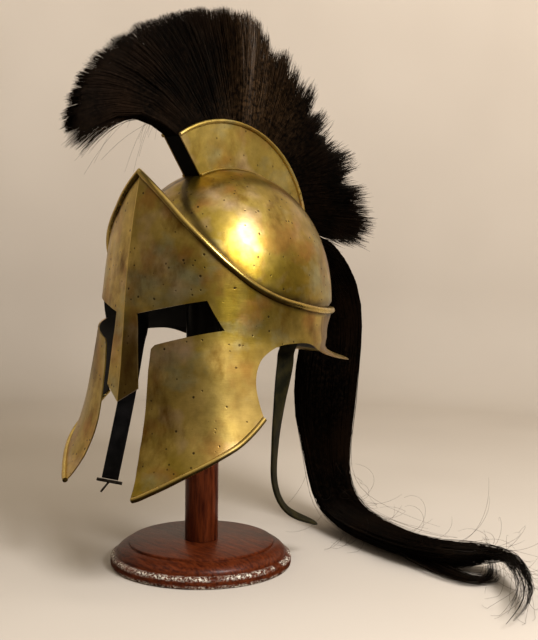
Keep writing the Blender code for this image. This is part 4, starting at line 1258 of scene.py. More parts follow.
def strands(name, paths, radius, root_share, tip_share):
    """Thin tapering three-sided tubes along the paths, made one mesh piece."""
    section = triangle_outline()
    curve = bpy.data.curves.new(name, "CURVE")
    curve.dimensions = "3D"
    curve.bevel_mode = "OBJECT"
    curve.bevel_object = section
    curve.use_fill_caps = True
    for path in paths:
        spline = curve.splines.new("POLY")
        spline.points.add(len(path) - 1)
        places = []
        widths = []
        for index, point in enumerate(path):
            way = index / (len(path) - 1)
            places.extend((point.x, point.y, point.z, 1.0))
            taper = root_share + (1.0 - root_share) * min(TAPER_FROM_ROOT * way, 1.0)
            widths.append(radius * taper * (1.0 - (1.0 - tip_share) * way ** 3))
        spline.points.foreach_set("co", places)
        spline.points.foreach_set("radius", widths)
    made = bpy.data.objects.new(name, curve)
    bpy.context.scene.collection.objects.link(made)
    made = as_mesh(made)
    bpy.data.objects.remove(section)
    ride_piece(made, black_hair)
    faces = sum(len(face.vertices) - 2 for face in made.data.polygons)
    print(name, len(paths), "strands,", faces, "triangles")


def hair_core(name, node, shrink, middle):
    """The CAD bundle drawn in, as the dark heart that the strands lie round."""
    work = bmesh.new()
    work.from_mesh(nodes[node].data)
    bmesh.ops.remove_doubles(work, verts=work.verts, dist=1e-6)
    for vertex in work.verts:
        heart = middle(vertex.co)
        vertex.co = heart + (vertex.co - heart) * shrink(vertex.co)
    made = piece_from(work, name, black_hair)
    return made


print("strand helpers ready")

# %% [markdown]
# ### Fan
#
# The fan is clipped neatly in front and runs out in ragged tufts behind. Its roots stand close
# together on the crest's arc and its tips spread. One table holds, for a root's angle on the
# arc, the angle and reach of its tip, how much the strand bows upwards, and how ragged the edge
# is there. A few notches are cut into the rear edge, as on the real one.

# %% Lines of the fan
ROOT_RADIUS = 0.1088
FAN_REACH = 0.200
#   root   tip    reach  rise   ragged
FAN_LINE = (
    (122.0, 152.5, 0.960, 0.100, 0.020),
    (119.0, 148.0, 1.010, 0.080, 0.020),
    (114.0, 139.0, 1.045, 0.050, 0.020),
    (107.0, 127.0, 1.065, 0.030, 0.020),
    (97.0, 112.0, 1.070, 0.015, 0.020),
    (87.0, 98.0, 1.085, 0.000, 0.020),
    (77.0, 84.0, 1.105, 0.000, 0.035),
    (70.0, 76.0, 1.090, 0.000, 0.060),
    (60.0, 64.0, 1.050, 0.000, 0.090),
    (50.0, 51.0, 1.015, 0.000, 0.105),
    (40.0, 37.0, 0.995, 0.000, 0.110),
    (30.0, 24.0, 1.060, 0.000, 0.130),
    (20.0, 13.0, 1.095, 0.000, 0.140),
    (12.0, 4.0, 1.145, 0.000, 0.150),
    (7.0, -1.5, 1.050, 0.000, 0.120),
)
#   angle  depth  width
FAN_NOTCHES = (
    (71.5, 0.075, 2.2),
    (57.0, 0.045, 1.8),
    (47.5, 0.055, 1.8),
    (35.0, 0.085, 2.4),
    (18.5, 0.060, 2.0),
)
FAN_ROWS = [(index,) + row for index, row in enumerate(FAN_LINE)]


def on_arc(angle, radius):
    turn = math.radians(angle)
    return CREST_MIDDLE + Vector((0.0, radius * math.cos(turn), radius * math.sin(turn)))


def fan_row(share):
    position = share * (len(FAN_LINE) - 1)
    return [smooth_value(FAN_ROWS, position, column) for column in range(1, 6)]


print("fan from", FAN_LINE[0][1], "to", FAN_LINE[-1][1], "degrees")

# %% [markdown]
# The dark heart of the fan is the CAD solid, drawn in on all sides so that only strands show at
# the edge. Its front is drawn in more than its rear, where the tufts are deep enough to hide it.

# %% Heart of the fan
FAN_CORE_SHARE = 0.86
FAN_CORE_REACH = 0.93
FAN_CORE_WIDTH = 0.7
FAN_TOP = 78.0                # degrees on the arc, between the clipped front and the ragged rear
FAN_CORE_FRONT = 0.925
FAN_CORE_REAR = 0.97


def fan_heart(point):
    """The nearest place on the arc of the hair's roots, in the fan's middle plane."""
    flat = Vector((0.0, point.y - CREST_MIDDLE.y, point.z - CREST_MIDDLE.z))
    return CREST_MIDDLE + flat.normalized() * ROOT_RADIUS


fan_core = hair_core("crest_core", "crest_hair", lambda point: FAN_CORE_SHARE, fan_heart)
for vertex in fan_core.data.vertices:
    flat = vertex.co - CREST_MIDDLE
    angle = math.degrees(math.atan2(flat.z, flat.y))
    kept = FAN_CORE_FRONT if angle > FAN_TOP else FAN_CORE_REAR
    radius = ROOT_RADIUS + (math.hypot(flat.y, flat.z) - ROOT_RADIUS) * FAN_CORE_REACH
    inward = on_arc(FAN_TOP + (angle - FAN_TOP) * kept, radius)
    vertex.co = Vector((FAN_CORE_WIDTH * vertex.co.x, inward.y, inward.z))
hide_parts("crest_hair")
print("heart of the fan:", len(fan_core.data.vertices), "vertices")

# %% [markdown]
# A strand is a straight line from its root to its tip, with a small bow. A strand near the rear
# leans to the middle of its lock, which opens the gaps between the tufts, and it is cut shorter
# beside the lock's middle and in a notch. Its place across the fan is drawn towards the two
# sides, because only those strands are seen.

# %% Strands of the fan
FAN_TIP_HALF = 0.0125
LOCKS = 24
RAGGED_MOST = 0.15
LOCK_LEAN = 0.60
LOCK_ROUNDING = 0.75
NOTCH_OPENING = 0.9
TUFTS_PER_DEGREE = 0.16
TUFT_SHARE = 0.45
#   how far single strands leave the rule: everywhere, and more where the edge is ragged
TIP_SCATTER = (0.5, 1.3)
BOW_SCATTER = (0.0012, 0.003)
RAGGED_SCATTER = 0.55
REACH_SCATTER = 0.012
SIDE_SCATTER = 0.13
FAN_WAYS = (0.0, 0.15, 0.40, 0.68, 0.88, 1.0)
FAN_PIECES = (1, 2, 3)
FAN_STRANDS = 4900            # in each piece, which keeps a piece under 200,000 triangles
FAN_STRAND_RADIUS = 0.00031


def fan_strand(dice):
    """One strand, from its root on the arc to its tip."""
    share = dice.random()
    root, tip, reach, rise, ragged = fan_row(share)
    lock_middle = (math.floor(share * LOCKS) + 0.5) / LOCKS
    middle_tip = fan_row(lock_middle)[1]
    loose = ragged / RAGGED_MOST
    lean = LOCK_LEAN * loose
    scatter = TIP_SCATTER[0] + TIP_SCATTER[1] * loose
    tip += lean * (middle_tip - tip) + dice.gauss(0.0, scatter)
    off_middle = abs(share - lock_middle) * 2.0 * LOCKS
    shortened = (ragged * off_middle ** 1.5 * LOCK_ROUNDING
                 + ragged * abs(dice.gauss(0.0, RAGGED_SCATTER)))
    for notch_angle, depth, width in FAN_NOTCHES:
        off_notch = (tip - notch_angle) / width
        shortened += depth * math.exp(-off_notch * off_notch)
        tip += NOTCH_OPENING * width * off_notch * math.exp(-off_notch * off_notch)
    tuft = noise.noise(Vector((tip * TUFTS_PER_DEGREE, 4.2, 0.0)))
    shortened -= TUFT_SHARE * ragged * tuft
    reach = FAN_REACH * (reach - shortened + REACH_SCATTER * dice.random())
    depth = dice.uniform(-1.0, 1.0)
    depth = math.copysign(abs(depth) ** 0.6, depth)
    tip_depth = depth + dice.gauss(0.0, SIDE_SCATTER)
    start = on_arc(root, ROOT_RADIUS)
    end = on_arc(tip, reach)
    bow = dice.gauss(0.0, BOW_SCATTER[0] + BOW_SCATTER[1] * loose)
    path = []
    for way in FAN_WAYS:
        point = start.lerp(end, way)
        point.z += 4.0 * FAN_REACH * rise * way * (1.0 - way)
        point += Vector((0.0, 4.0 * bow * way * (1.0 - way), 0.0))
        half = FAN_TIP_HALF * (0.78 + 0.42 * min(way / 0.5, 1.0) - 0.20 * way ** 4)
        point.x = half * (depth + (tip_depth - depth) * way)
        path.append(point)
    return path


fan_dice = random.Random(11)
for number in FAN_PIECES:
    strands(f"crest_strands_{number}", [fan_strand(fan_dice) for _ in range(FAN_STRANDS)],
            FAN_STRAND_RADIUS, root_share=0.9, tip_share=0.25)

# %% [markdown]
# Thin locks hang a little below the clipped front edge, and a few long hairs have come loose
# altogether. They are what makes the edge look like hair and not like a brush.

# %% Fringe and loose hairs
#   how far a lock droops and spreads, in degrees, and its number of hairs
FRINGE_LOCKS = (
    (0.8, 0.35, 90),
    (1.9, 0.30, 70),
    (3.1, 0.35, 50),
    (4.4, 0.30, 22),
)
FRINGE_STEPS = 9
FRINGE_RADIUS = 0.00026
CREST_STRAYS = 16
STRAY_STEPS = 10
STRAY_RADIUS = 0.00014
STRAY_ROOTS = (108.0, 121.0)
#   where a loose hair ends, from the crest's middle, and how far it bows upwards
STRAY_ALONG = (-0.17, -0.08)
STRAY_HEIGHT = (0.045, 0.115)
STRAY_LIFT = (0.01, 0.04)


def fringe_strand(dice, droop, spread_out):
    """A strand of a thin lock that hangs a little below the front of the fan."""
    root, tip, reach, rise, _ = fan_row(0.0)
    tip += droop + dice.gauss(0.0, spread_out)
    start = on_arc(root - 1.0, ROOT_RADIUS)
    end = on_arc(tip, FAN_REACH * min(reach + dice.gauss(-0.05, 0.03), reach))
    depth = 0.6 * FAN_TIP_HALF * dice.uniform(-1.0, 1.0)
    path = []
    for step in range(FRINGE_STEPS + 1):
        way = step / FRINGE_STEPS
        point = start.lerp(end, way)
        point.z += 4.0 * FAN_REACH * (rise + 0.004 * droop) * way * (1.0 - way)
        point.x = depth
        path.append(point)
    return path


strands("crest_fringe", [fringe_strand(fan_dice, droop, spread_out)
                         for droop, spread_out, number in FRINGE_LOCKS
                         for _ in range(number)],
        FRINGE_RADIUS, root_share=0.9, tip_share=0.3)


def crest_stray(dice):
    """A long loose hair that hangs out of the front of the fan."""
    start = on_arc(dice.uniform(*STRAY_ROOTS), ROOT_RADIUS + 0.01)
    end = CREST_MIDDLE + Vector((dice.gauss(0.0, 0.008), dice.uniform(*STRAY_ALONG),
                                 dice.uniform(*STRAY_HEIGHT)))
    lift = dice.uniform(*STRAY_LIFT)
    path = []
    for step in range(STRAY_STEPS + 1):
        way = step / STRAY_STEPS
        point = start.lerp(end, way)
        path.append(point + Vector((0.0, 0.0, 4.0 * lift * way * (1.0 - way))))
    return path


strands("crest_strays", [crest_stray(fan_dice) for _ in range(CREST_STRAYS)],
        STRAY_RADIUS, root_share=1.0, tip_share=0.6)

# %% [markdown]
# ### Tail
#
# The tail falls from the back of the crest and runs out along the table. One table holds its
# middle line and its size on the way. A frame is carried down that line: a middle, a direction
# across and one upwards, so that any place in the bundle can be named by how far down it is, the
# turn round the middle and the share of the radius. Nothing may sink into the table.

# %% Line of the tail
TAIL_SIDE_REACH = 0.300
TAIL_HALF_WIDTH = 0.042
TAIL_BACK = REAR_REACH + FLANGE_REACH

#   side    back   height width  depth
TAIL_ROUTE = (
    (0.000, 0.825, 0.972, 0.330, 0.220),
    (0.000, 0.990, 0.920, 0.600, 0.400),
    (-0.017, 1.151, 0.829, 0.810, 0.570),
    (-0.037, 1.230, 0.734, 0.950, 0.680),
    (-0.053, 1.252, 0.627, 1.000, 0.720),
    (-0.067, 1.245, 0.514, 1.020, 0.740),
    (-0.073, 1.250, 0.398, 0.960, 0.700),
    (-0.070, 1.262, 0.281, 0.780, 0.570),
    (-0.054, 1.258, 0.183, 0.660, 0.480),
    (-0.010, 1.240, 0.107, 0.640, 0.450),
    (0.064, 1.210, 0.064, 0.660, 0.400),
    (0.152, 1.155, 0.049, 0.680, 0.365),
    (0.258, 1.105, 0.042, 0.720, 0.322),
    (0.403, 1.037, 0.040, 0.740, 0.300),
    (0.521, 1.034, 0.040, 0.820, 0.290),
    (0.614, 1.039, 0.044, 0.840, 0.310),
    (0.674, 1.082, 0.052, 0.660, 0.320),
    (0.736, 1.118, 0.063, 0.440, 0.260),
    (0.808, 1.072, 0.069, 0.330, 0.205),
    (0.884, 0.950, 0.066, 0.270, 0.165),
    (0.963, 0.779, 0.054, 0.220, 0.140),
    (1.010, 0.615, 0.038, 0.190, 0.125),
    (1.037, 0.444, 0.026, 0.150, 0.110),
    (1.053, 0.299, 0.015, 0.071, 0.071),
)
TAIL_ROWS = [(index,) + row for index, row in enumerate(TAIL_ROUTE)]
TAIL_FRAMES = 120
TABLE_CLEARANCE = 0.0006


def tail_middle(side, back, height):
    """A place from its three shares in the route."""
    return Vector((side * TAIL_SIDE_REACH, HEAD_MIDDLE_Y + back * TAIL_BACK,
                   height * CREST_MIDDLE.z))


def tail_frames():
    """Middle, width and depth directions, and half sizes, all the way down the tail."""
    stations = []
    for number in range(TAIL_FRAMES + 1):
        key = (len(TAIL_ROUTE) - 1) * number / TAIL_FRAMES
        side, back, height, width, depth = [smooth_value(TAIL_ROWS, key, column)
                                            for column in range(1, 6)]
        stations.append((tail_middle(side, back, height), width * TAIL_HALF_WIDTH,
                         depth * TAIL_HALF_WIDTH))
    frames = []
    across = Vector((0.0, 1.0, 0.0))
    for index, (middle, width, depth) in enumerate(stations):
        before = stations[max(index - 1, 0)][0]
        after = stations[min(index + 1, TAIL_FRAMES)][0]
        along = (after - before).normalized()
        across = (across - along * across.dot(along)).normalized()
        frames.append((middle, across.copy(), along.cross(across), width, depth))
    return frames


FRAMES = tail_frames()


def tail_place(way, turn, radius):
    """A place in the bundle: way down it, turn round it, radius from 0 to 1."""
    position = min(max(way, 0.0), 1.0) * TAIL_FRAMES
    index = min(int(position), TAIL_FRAMES - 1)
    part = position - index
    first, second = FRAMES[index], FRAMES[index + 1]
    middle, across, up = [first[place].lerp(second[place], part) for place in (0, 1, 2)]
    width = first[3] + (second[3] - first[3]) * part
    depth = first[4] + (second[4] - first[4]) * part
    point = middle + across * (width * radius * math.cos(turn))
    point += up * (depth * radius * math.sin(turn))
    point.z = max(point.z, TABLE_CLEARANCE)
    return point


tail_length = sum((second[0] - first[0]).length for first, second in zip(FRAMES, FRAMES[1:]))
print("tail", round(tail_length, 3), "m long on its middle line")

# %% [markdown]
# The heart of the tail is the CAD solid again, drawn in towards the middle line. Past the place
# where the tail breaks up into wisps it thins out, so that one can look through the end.

# %% Heart of the tail
TAIL_CORE_SHARE = 0.80
TAIL_CORE_LOSS = 0.74
CORE_THINS_FROM = 0.55
CORE_THINS_OVER = 0.13


def tail_station(point):
    """Number of the frame nearest to a point."""
    return min(range(len(FRAMES)), key=lambda index: (FRAMES[index][0] - point).length_squared)


def tail_heart(point):
    """The nearest place on the tail's middle line."""
    return FRAMES[tail_station(point)][0]


def tail_shrink(point):
    """The heart thins out where the tail breaks up into wisps."""
    way = tail_station(point) / TAIL_FRAMES
    thinned = min(max((way - CORE_THINS_FROM) / CORE_THINS_OVER, 0.0), 1.0)
    return TAIL_CORE_SHARE - TAIL_CORE_LOSS * thinned


tail_core = hair_core("tail_core", "tail_hair", tail_shrink, tail_heart)
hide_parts("tail_hair")
print("heart of the tail:", len(tail_core.data.vertices), "vertices")

# %% [markdown]
# Each strand keeps its own place in the bundle, drifts slowly round it and ends at its own
# length. Most end where the tail starts to thin. The rest gather into a few wisps, each with
# its own turn and radius, and end one after the other.

# %% Strands of the tail
TAIL_POINTS = 20
TAIL_STRANDS = 1300           # in each piece
TAIL_PIECES = (1, 2)
TAIL_STRAND_RADIUS = 0.00046
SHORT_SHARE = 0.88
SHORT_FROM = 0.42
SHORT_TO = 0.66
WISPS = 24
WISP_START = 0.60
WISP_GATHERED = 0.93
WISP_END_SCATTER = 0.15
WISP_TURN_SCATTER = 0.16
WISP_RADIUS_SCATTER = 0.07
#   for a strand in the bundle, and more for a stray one
DRIFT = (0.5, 1.0)
SWING = (0.10, 0.35)
wisp_dice = random.Random(5)
#   turn, radius, and share of the tail's length at which the wisp ends
WISP_LINE = [(wisp_dice.uniform(0.3, 2.8), wisp_dice.uniform(0.3, 1.25),
              wisp_dice.uniform(0.80, 1.0)) for _ in range(WISPS)]


def tail_strand(dice, stray=0.0):
    """One strand of the tail; stray is how far it leaves the bundle."""
    turn = dice.uniform(0.0, 2.0 * math.pi)
    radius = dice.random() ** 0.5
    first_way = 0.02 * dice.random()
    wisp_turn, wisp_radius, last_way = dice.choice(WISP_LINE)
    last_way -= WISP_END_SCATTER * dice.random() ** 1.5
    if dice.random() < SHORT_SHARE:
        last_way = dice.uniform(SHORT_FROM, SHORT_TO)
    wisp_turn += dice.gauss(0.0, WISP_TURN_SCATTER)
    wisp_radius += dice.gauss(0.0, WISP_RADIUS_SCATTER)
    drift = dice.gauss(0.0, DRIFT[0] + DRIFT[1] * stray)
    swing = dice.gauss(0.0, SWING[0] + SWING[1] * stray)
    beat = dice.uniform(3.0, 8.0)
    phase = dice.uniform(0.0, 6.3)
    path = []
    for step in range(TAIL_POINTS):
        share = step / (TAIL_POINTS - 1)
        way = first_way + (last_way - first_way) * share
        loose = share * share
        here = radius * (1.0 + loose * stray) + swing * loose * math.sin(beat * way + phase)
        place = tail_place(way, turn + drift * way, here)
        gathered = eased((way - WISP_START) / (WISP_GATHERED - WISP_START))
        path.append(place.lerp(tail_place(way, wisp_turn, wisp_radius), gathered))
    return path


tail_dice = random.Random(23)
for number in TAIL_PIECES:
    strands(f"tail_strands_{number}", [tail_strand(tail_dice) for _ in range(TAIL_STRANDS)],
            TAIL_STRAND_RADIUS, root_share=0.8, tip_share=0.25)

# %% [markdown]
# Under the tail's end a thinner lock leaves the bundle, runs along the table and bends back on
# itself, and one sees the table through the loop. It has its own short route, in the shares of
# the tail's route, and its strands start inside the bundle.

# %% Lower lock
#   side, back and height
CURL_ROUTE = (
    (0.520, 0.940, 0.016),
    (0.640, 0.880, 0.010),
    (0.735, 0.870, 0.008),
    (0.775, 0.960, 0.010),
    (0.740, 1.110, 0.016),
    (0.690, 1.230, 0.030),
    (0.640, 1.280, 0.045),
)
CURL_LEAVES = 12.0            # the row of TAIL_ROUTE at which the lock leaves the bundle
CURL_LEAD_STEPS = 6
CURL_STEPS = 12
CURL_STRANDS = 120
CURL_RADIUS = 0.00034
#   ranges of a strand's turn and radius in the bundle, its first row, and its share of the lock
CURL_TURN = (3.0, 4.4)
CURL_DEPTH = (0.4, 0.95)
CURL_FIRST = (5.0, 9.0)
CURL_LAST = (0.45, 0.92)


def curl_strand(dice):
    """A strand of the lower lock, which leaves the tail and bends back on itself."""
    turn = dice.uniform(*CURL_TURN)
    radius = dice.uniform(*CURL_DEPTH)
    first = dice.uniform(*CURL_FIRST)
    last = 2.0 * len(CURL_ROUTE) * dice.uniform(*CURL_LAST)
    away = Vector((dice.gauss(0.0, 0.0045), dice.gauss(0.0, 0.0060),
                   abs(dice.gauss(0.0, 0.0020))))
    path = []
    for step in range(CURL_LEAD_STEPS + 1):
        row = first + (CURL_LEAVES - first) * step / CURL_LEAD_STEPS
        path.append(tail_place(row / (len(TAIL_ROUTE) - 1), turn, radius))
    for number, shares in enumerate(smooth_line(CURL_ROUTE, CURL_STEPS), 1):
        if number > last:
            break
        place = tail_middle(*shares) + away * (1.2 - 0.7 * (number / (CURL_STEPS + 1)))
        place.z = max(place.z, TABLE_CLEARANCE)
        path.append(place)
    return path


strands("tail_curl", [curl_strand(tail_dice) for _ in range(CURL_STRANDS)],
        CURL_RADIUS, root_share=0.8, tip_share=0.25)

# %% [markdown]
# Loose hairs leave the tail on all sides. The long ones follow it at a distance, and the short
# ones curl: each turns its heading a little at every step, about an axis of its own, so it draws
# a part of a helix. They stop at the corner of the CAD tail, to keep the visual in its box.

# %% Loose hairs of the tail
TAIL_STRAYS = 50
TAIL_STRAY_RADIUS = 0.00018
STRAY_LOOSE = 0.8
TAIL_CURLS = 130
CURLY_RADIUS = 0.00013
CURLY_POINTS = 16
CURLY_FROM = (0.30, 0.90)     # shares of the tail's length
CURLY_BEND = (0.04, 0.30)     # radians at each step
CURLY_STRIDE = (0.0020, 0.0055)


def curly_hair(dice):
    """A loose hair that leaves the tail and curls as it goes."""
    way = dice.uniform(*CURLY_FROM)
    turn = dice.uniform(0.0, 2.0 * math.pi)
    path = [tail_place(way, turn, 0.85)]
    heading = (tail_place(way + 0.04, turn, 1.15) - path[0]).normalized()
    axis = Vector([dice.gauss(0.0, 1.0) for _ in range(3)]).normalized()
    bend = Matrix.Rotation(dice.uniform(*CURLY_BEND), 3, axis)
    stride = dice.uniform(*CURLY_STRIDE)
    for _ in range(CURLY_POINTS):
        heading = bend @ heading
        place = path[-1] + heading * stride
        place.z = max(place.z, TABLE_CLEARANCE)
        place.x = min(place.x, tail_corner.x)
        place.y = min(place.y, tail_corner.y)
        path.append(place)
    return path


tail_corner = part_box("tail_hair")[1]
strands("tail_strays", [tail_strand(tail_dice, STRAY_LOOSE) for _ in range(TAIL_STRAYS)],
        TAIL_STRAY_RADIUS, root_share=0.8, tip_share=0.4)
strands("tail_curls", [curly_hair(tail_dice) for _ in range(TAIL_CURLS)],
        CURLY_RADIUS, root_share=1.0, tip_share=0.5)

# %% [markdown]
# ## Straps
#
# The two straps are leather bands that hang free. Each is fixed flat on the inside of the mask,
# so its first points are worked out from the mask's own section, and the rest are listed. The
# turn of the band's width, in degrees from +X, goes with each point.

# %% Strap routes
#   side   back    height  turn; side 0 is seated on the mask's inside
LEFT_STRAP_ROUTE = (
    (0.0, 0.085, 0.560, 0.0),
    (0.0, 0.085, 0.530, 0.0),
    (0.945, 0.085, 0.502, 88.0),
    (0.850, 0.085, 0.465, 76.0),
    (0.780, 0.085, 0.425, 68.0),
    (0.764, 0.085, 0.380, 66.0),
    (0.734, 0.059, 0.259, 98.0),
    (0.705, 0.042, 0.126, 116.0),
    (0.686, 0.059, -0.010, 123.0),
    (0.667, 0.220, -0.109, 131.0),
    (0.618, 0.610, -0.187, 136.0),
)
RIGHT_STRAP_ROUTE = (
    (0.0, -0.200, 0.570, 0.0),
    (0.0, -0.210, 0.530, 0.0),
    (-0.945, -0.245, 0.495, 82.0),
    (-0.880, -0.310, 0.455, 64.0),
    (-0.831, -0.373, 0.415, 50.0),
    (-0.812, -0.458, 0.275, 50.0),
    (-0.773, -0.568, 0.136, 50.0),
    (-0.725, -0.712, -0.037, 50.0),
)
STRAP_THICKNESS = 0.0022
STRAP_SEAT_GAP = 0.0008


def strap_points(route, width):
    """The route's points, with the width's turn as a fourth value."""
    outward = math.copysign(1.0, route[-1][0])
    room = SHEET + 0.5 * STRAP_THICKNESS + STRAP_SEAT_GAP
    points = []
    for side, back, height_share, turn in route:
        along = HEAD_MIDDLE_Y + back * FRONT_REACH
        height = height_at(height_share)
        across = side * BROW_HALF_WIDTH
        if side == 0.0:
            across = outward * (half_width_at(along, height) - room)
            ahead = half_width_at(along - 0.5 * width, height)
            behind = half_width_at(along + 0.5 * width, height)
            turn = math.degrees(math.atan2(width, outward * (behind - ahead)))
        points.append((across, along, height, turn))
    return points


print("straps with", len(LEFT_STRAP_ROUTE), "and", len(RIGHT_STRAP_ROUTE), "points")

# %% [markdown]
# A grid that is long one way and narrow the other follows each route. Two lines are pressed in
# along the edges, so the grid's rows near them sink a little before the band gets its thickness,
# and the edges are rounded off. The free end of the left strap is cut to a tongue.

# %% Leather bands
STRAP_LENGTH_STEPS = 90
STRAP_WIDTH_STEPS = 12
PRESSED_LINE = 0.72           # place of a pressed line, as a share of the half width
PRESSED_HALF = 0.09
PRESSED_DEPTH = 0.0004
EDGE_ROUNDING = 0.35
TONGUE_STEPS = 6.0


def strap_piece(name, route, width, end_share, material):
    """A band of leather along a route; its end narrows to a share of its width."""
    stations = smooth_line(strap_points(route, width), STRAP_LENGTH_STEPS - 1)
    work = bmesh.new()
    bmesh.ops.create_grid(work, x_segments=STRAP_LENGTH_STEPS - 1,
                          y_segments=STRAP_WIDTH_STEPS, size=0.5, calc_uvs=True)
    for vertex in work.verts:
        index = round((vertex.co.x + 0.5) * (STRAP_LENGTH_STEPS - 1))
        station = stations[index]
        middle = Vector(station[:3])
        before = Vector(stations[max(index - 1, 0)][:3])
        after = Vector(stations[min(index + 1, len(stations) - 1)][:3])
        along = (after - before).normalized()
        turn = math.radians(station[3])
        across = Vector((math.cos(turn), math.sin(turn), 0.0))
        across = (across - along * across.dot(along)).normalized()
        out = 2.0 * vertex.co.y
        to_end = (STRAP_LENGTH_STEPS - 1 - index) / TONGUE_STEPS
        narrow = end_share + (1.0 - end_share) * min(to_end, 1.0) ** 0.5
        pressed = max(0.0, 1.0 - abs(abs(out) - PRESSED_LINE) / PRESSED_HALF) * PRESSED_DEPTH
        rounded = 0.5 * STRAP_THICKNESS * (1.0 - EDGE_ROUNDING * out ** 8)
        lift = along.cross(across) * (rounded - pressed)
        vertex.co = middle + across * (0.5 * width * out * narrow) + lift
    made = piece_from(work, name, material)
    thick = made.modifiers.new("leather", "SOLIDIFY")
    thick.thickness = STRAP_THICKNESS
    thick.offset = -1.0
    return made


print("bands of", STRAP_LENGTH_STEPS, "by", STRAP_WIDTH_STEPS, "faces")

# %% [markdown]
# Worn leather is dull, with a fine grain that only the light shows, and it is darker in the
# pressed lines. The lines lie at fixed places across the band, so the finish reads the grid's
# own UV map there.

# %% Leather
OLIVE_DARK = (0.004, 0.0036, 0.0008, 1.0)
OLIVE_LIGHT = (0.018, 0.014, 0.0028, 1.0)
BLACK_DARK = (0.0040, 0.0038, 0.0040, 1.0)
BLACK_LIGHT = (0.014, 0.013, 0.013, 1.0)
LINE_DARK = (0.006, 0.005, 0.003, 1.0)
LEFT_STRAP_WIDTH = 0.0165
LEFT_STRAP_END = 0.36
RIGHT_STRAP_WIDTH = 0.017
RIGHT_STRAP_END = 1.0


def leather_finish(name, dark, light, roughness):
    """Worn leather: grain in the bump, and two darker lines along the edges."""
    made, tree, shader = new_material(name)
    place = object_place(tree)
    grain = clouds(tree, place, 900.0, 3.0, 0.6)
    worn = clouds(tree, place, 70.0, 4.0)
    colour = blend_colours(tree, spread(tree, worn, 0.35, 0.7), dark, light)
    edge_map = add(tree, "ShaderNodeUVMap", uv_map="UVMap").outputs[0]
    over = add(tree, "ShaderNodeSeparateXYZ", {0: edge_map}).outputs["Y"]
    from_middle = add(tree, "ShaderNodeMath",
                      {0: add(tree, "ShaderNodeMath", {0: over, 1: 0.5},
                              operation="SUBTRACT").outputs[0]}, operation="ABSOLUTE")
    to_line = add(tree, "ShaderNodeMath", {0: from_middle.outputs[0], 1: 0.5 * PRESSED_LINE},
                  operation="SUBTRACT")
    line = spread(tree, add(tree, "ShaderNodeMath", {0: to_line.outputs[0]},
                            operation="ABSOLUTE").outputs[0], 0.055, 0.020)
    colour = blend_colours(tree, combine(tree, line, 0.8), colour, LINE_DARK)
    tree.links.new(colour, shader.inputs["Base Color"])
    shader.inputs["Roughness"].default_value = roughness
    shader.inputs["Specular IOR Level"].default_value = 0.08
    tree.links.new(bump(tree, grain, 0.00012), shader.inputs["Normal"])
    return made


olive_leather = leather_finish("olive_leather", OLIVE_DARK, OLIVE_LIGHT, 0.62)
black_leather = leather_finish("black_leather", BLACK_DARK, BLACK_LIGHT, 0.60)
left_strap = strap_piece("left_strap", LEFT_STRAP_ROUTE, LEFT_STRAP_WIDTH, LEFT_STRAP_END,
                         olive_leather)
right_strap = strap_piece("right_strap", RIGHT_STRAP_ROUTE, RIGHT_STRAP_WIDTH, RIGHT_STRAP_END,
                          black_leather)
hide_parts("strap_left")
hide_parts("strap_right")
for strap in (left_strap, right_strap):
    print(strap.name, len(strap.data.polygons), "faces before its thickness")

# %% [markdown]
# The buckle at the end of the black strap is so small that its CAD solid has all of its shape.
# It only takes a dull steel finish with brown stains.

# %% Buckle
STEEL_GREY = (0.10, 0.085, 0.070, 1.0)
STEEL_STAIN = (0.035, 0.025, 0.018, 1.0)


def dull_steel():
    made, tree, shader = new_material("dull_steel")
    stain = clouds(tree, object_place(tree), 220.0, 4.0)
    colour = blend_colours(tree, spread(tree, stain, 0.4, 0.7), STEEL_GREY, STEEL_STAIN)
    tree.links.new(colour, shader.inputs["Base Color"])
    tree.links.new(spread(tree, stain, 0.3, 0.7, 0.35, 0.6), shader.inputs["Roughness"])
    shader.inputs["Metallic"].default_value = 1.0
    return made


dress("strap_buckle", dull_steel())
print("buckle dressed")

# %% [markdown]
# ## Stand
#
# The stand is turned on a lathe, so the base's profile is spun in Blender as well. Its foot has
# been knocked, so the rings near the rim are chipped by a fraction of a millimetre. The post is
# a plain rod whose two edges have a small bevel, where the chisel took the sharpness off.

# %% Turned base and post
STAND_RADIUS = 0.090
STAND_BASE_HEIGHT = 0.0235
POST_RADIUS = 0.0165
#   radius height, as shares
BASE_PROFILE = (
    (0.000, 1.000),
    (0.785, 1.000),
    (0.800, 0.975),
    (0.803, 0.940),
    (0.803, 0.890),
    (0.830, 0.868),
    (0.858, 0.825),
    (0.884, 0.770),
    (0.905, 0.710),
    (0.922, 0.640),
    (0.933, 0.570),
    (0.938, 0.480),
    (0.960, 0.455),
    (0.982, 0.425),
    (0.996, 0.380),
    (1.000, 0.320),
    (1.000, 0.120),
    (0.996, 0.050),
    (0.985, 0.000),
    (0.000, 0.000),
)
CHIP_RADIUS = 0.93            # share of the base's radius from which the wood is chipped
CHIPS_PER_METRE = 210.0
CHIP_LIMIT = 0.22             # noise below this leaves the wood whole
CHIP_DEPTH = 0.00175
POST_BEVEL = 0.0006
POST_EDGE = math.radians(60.0)


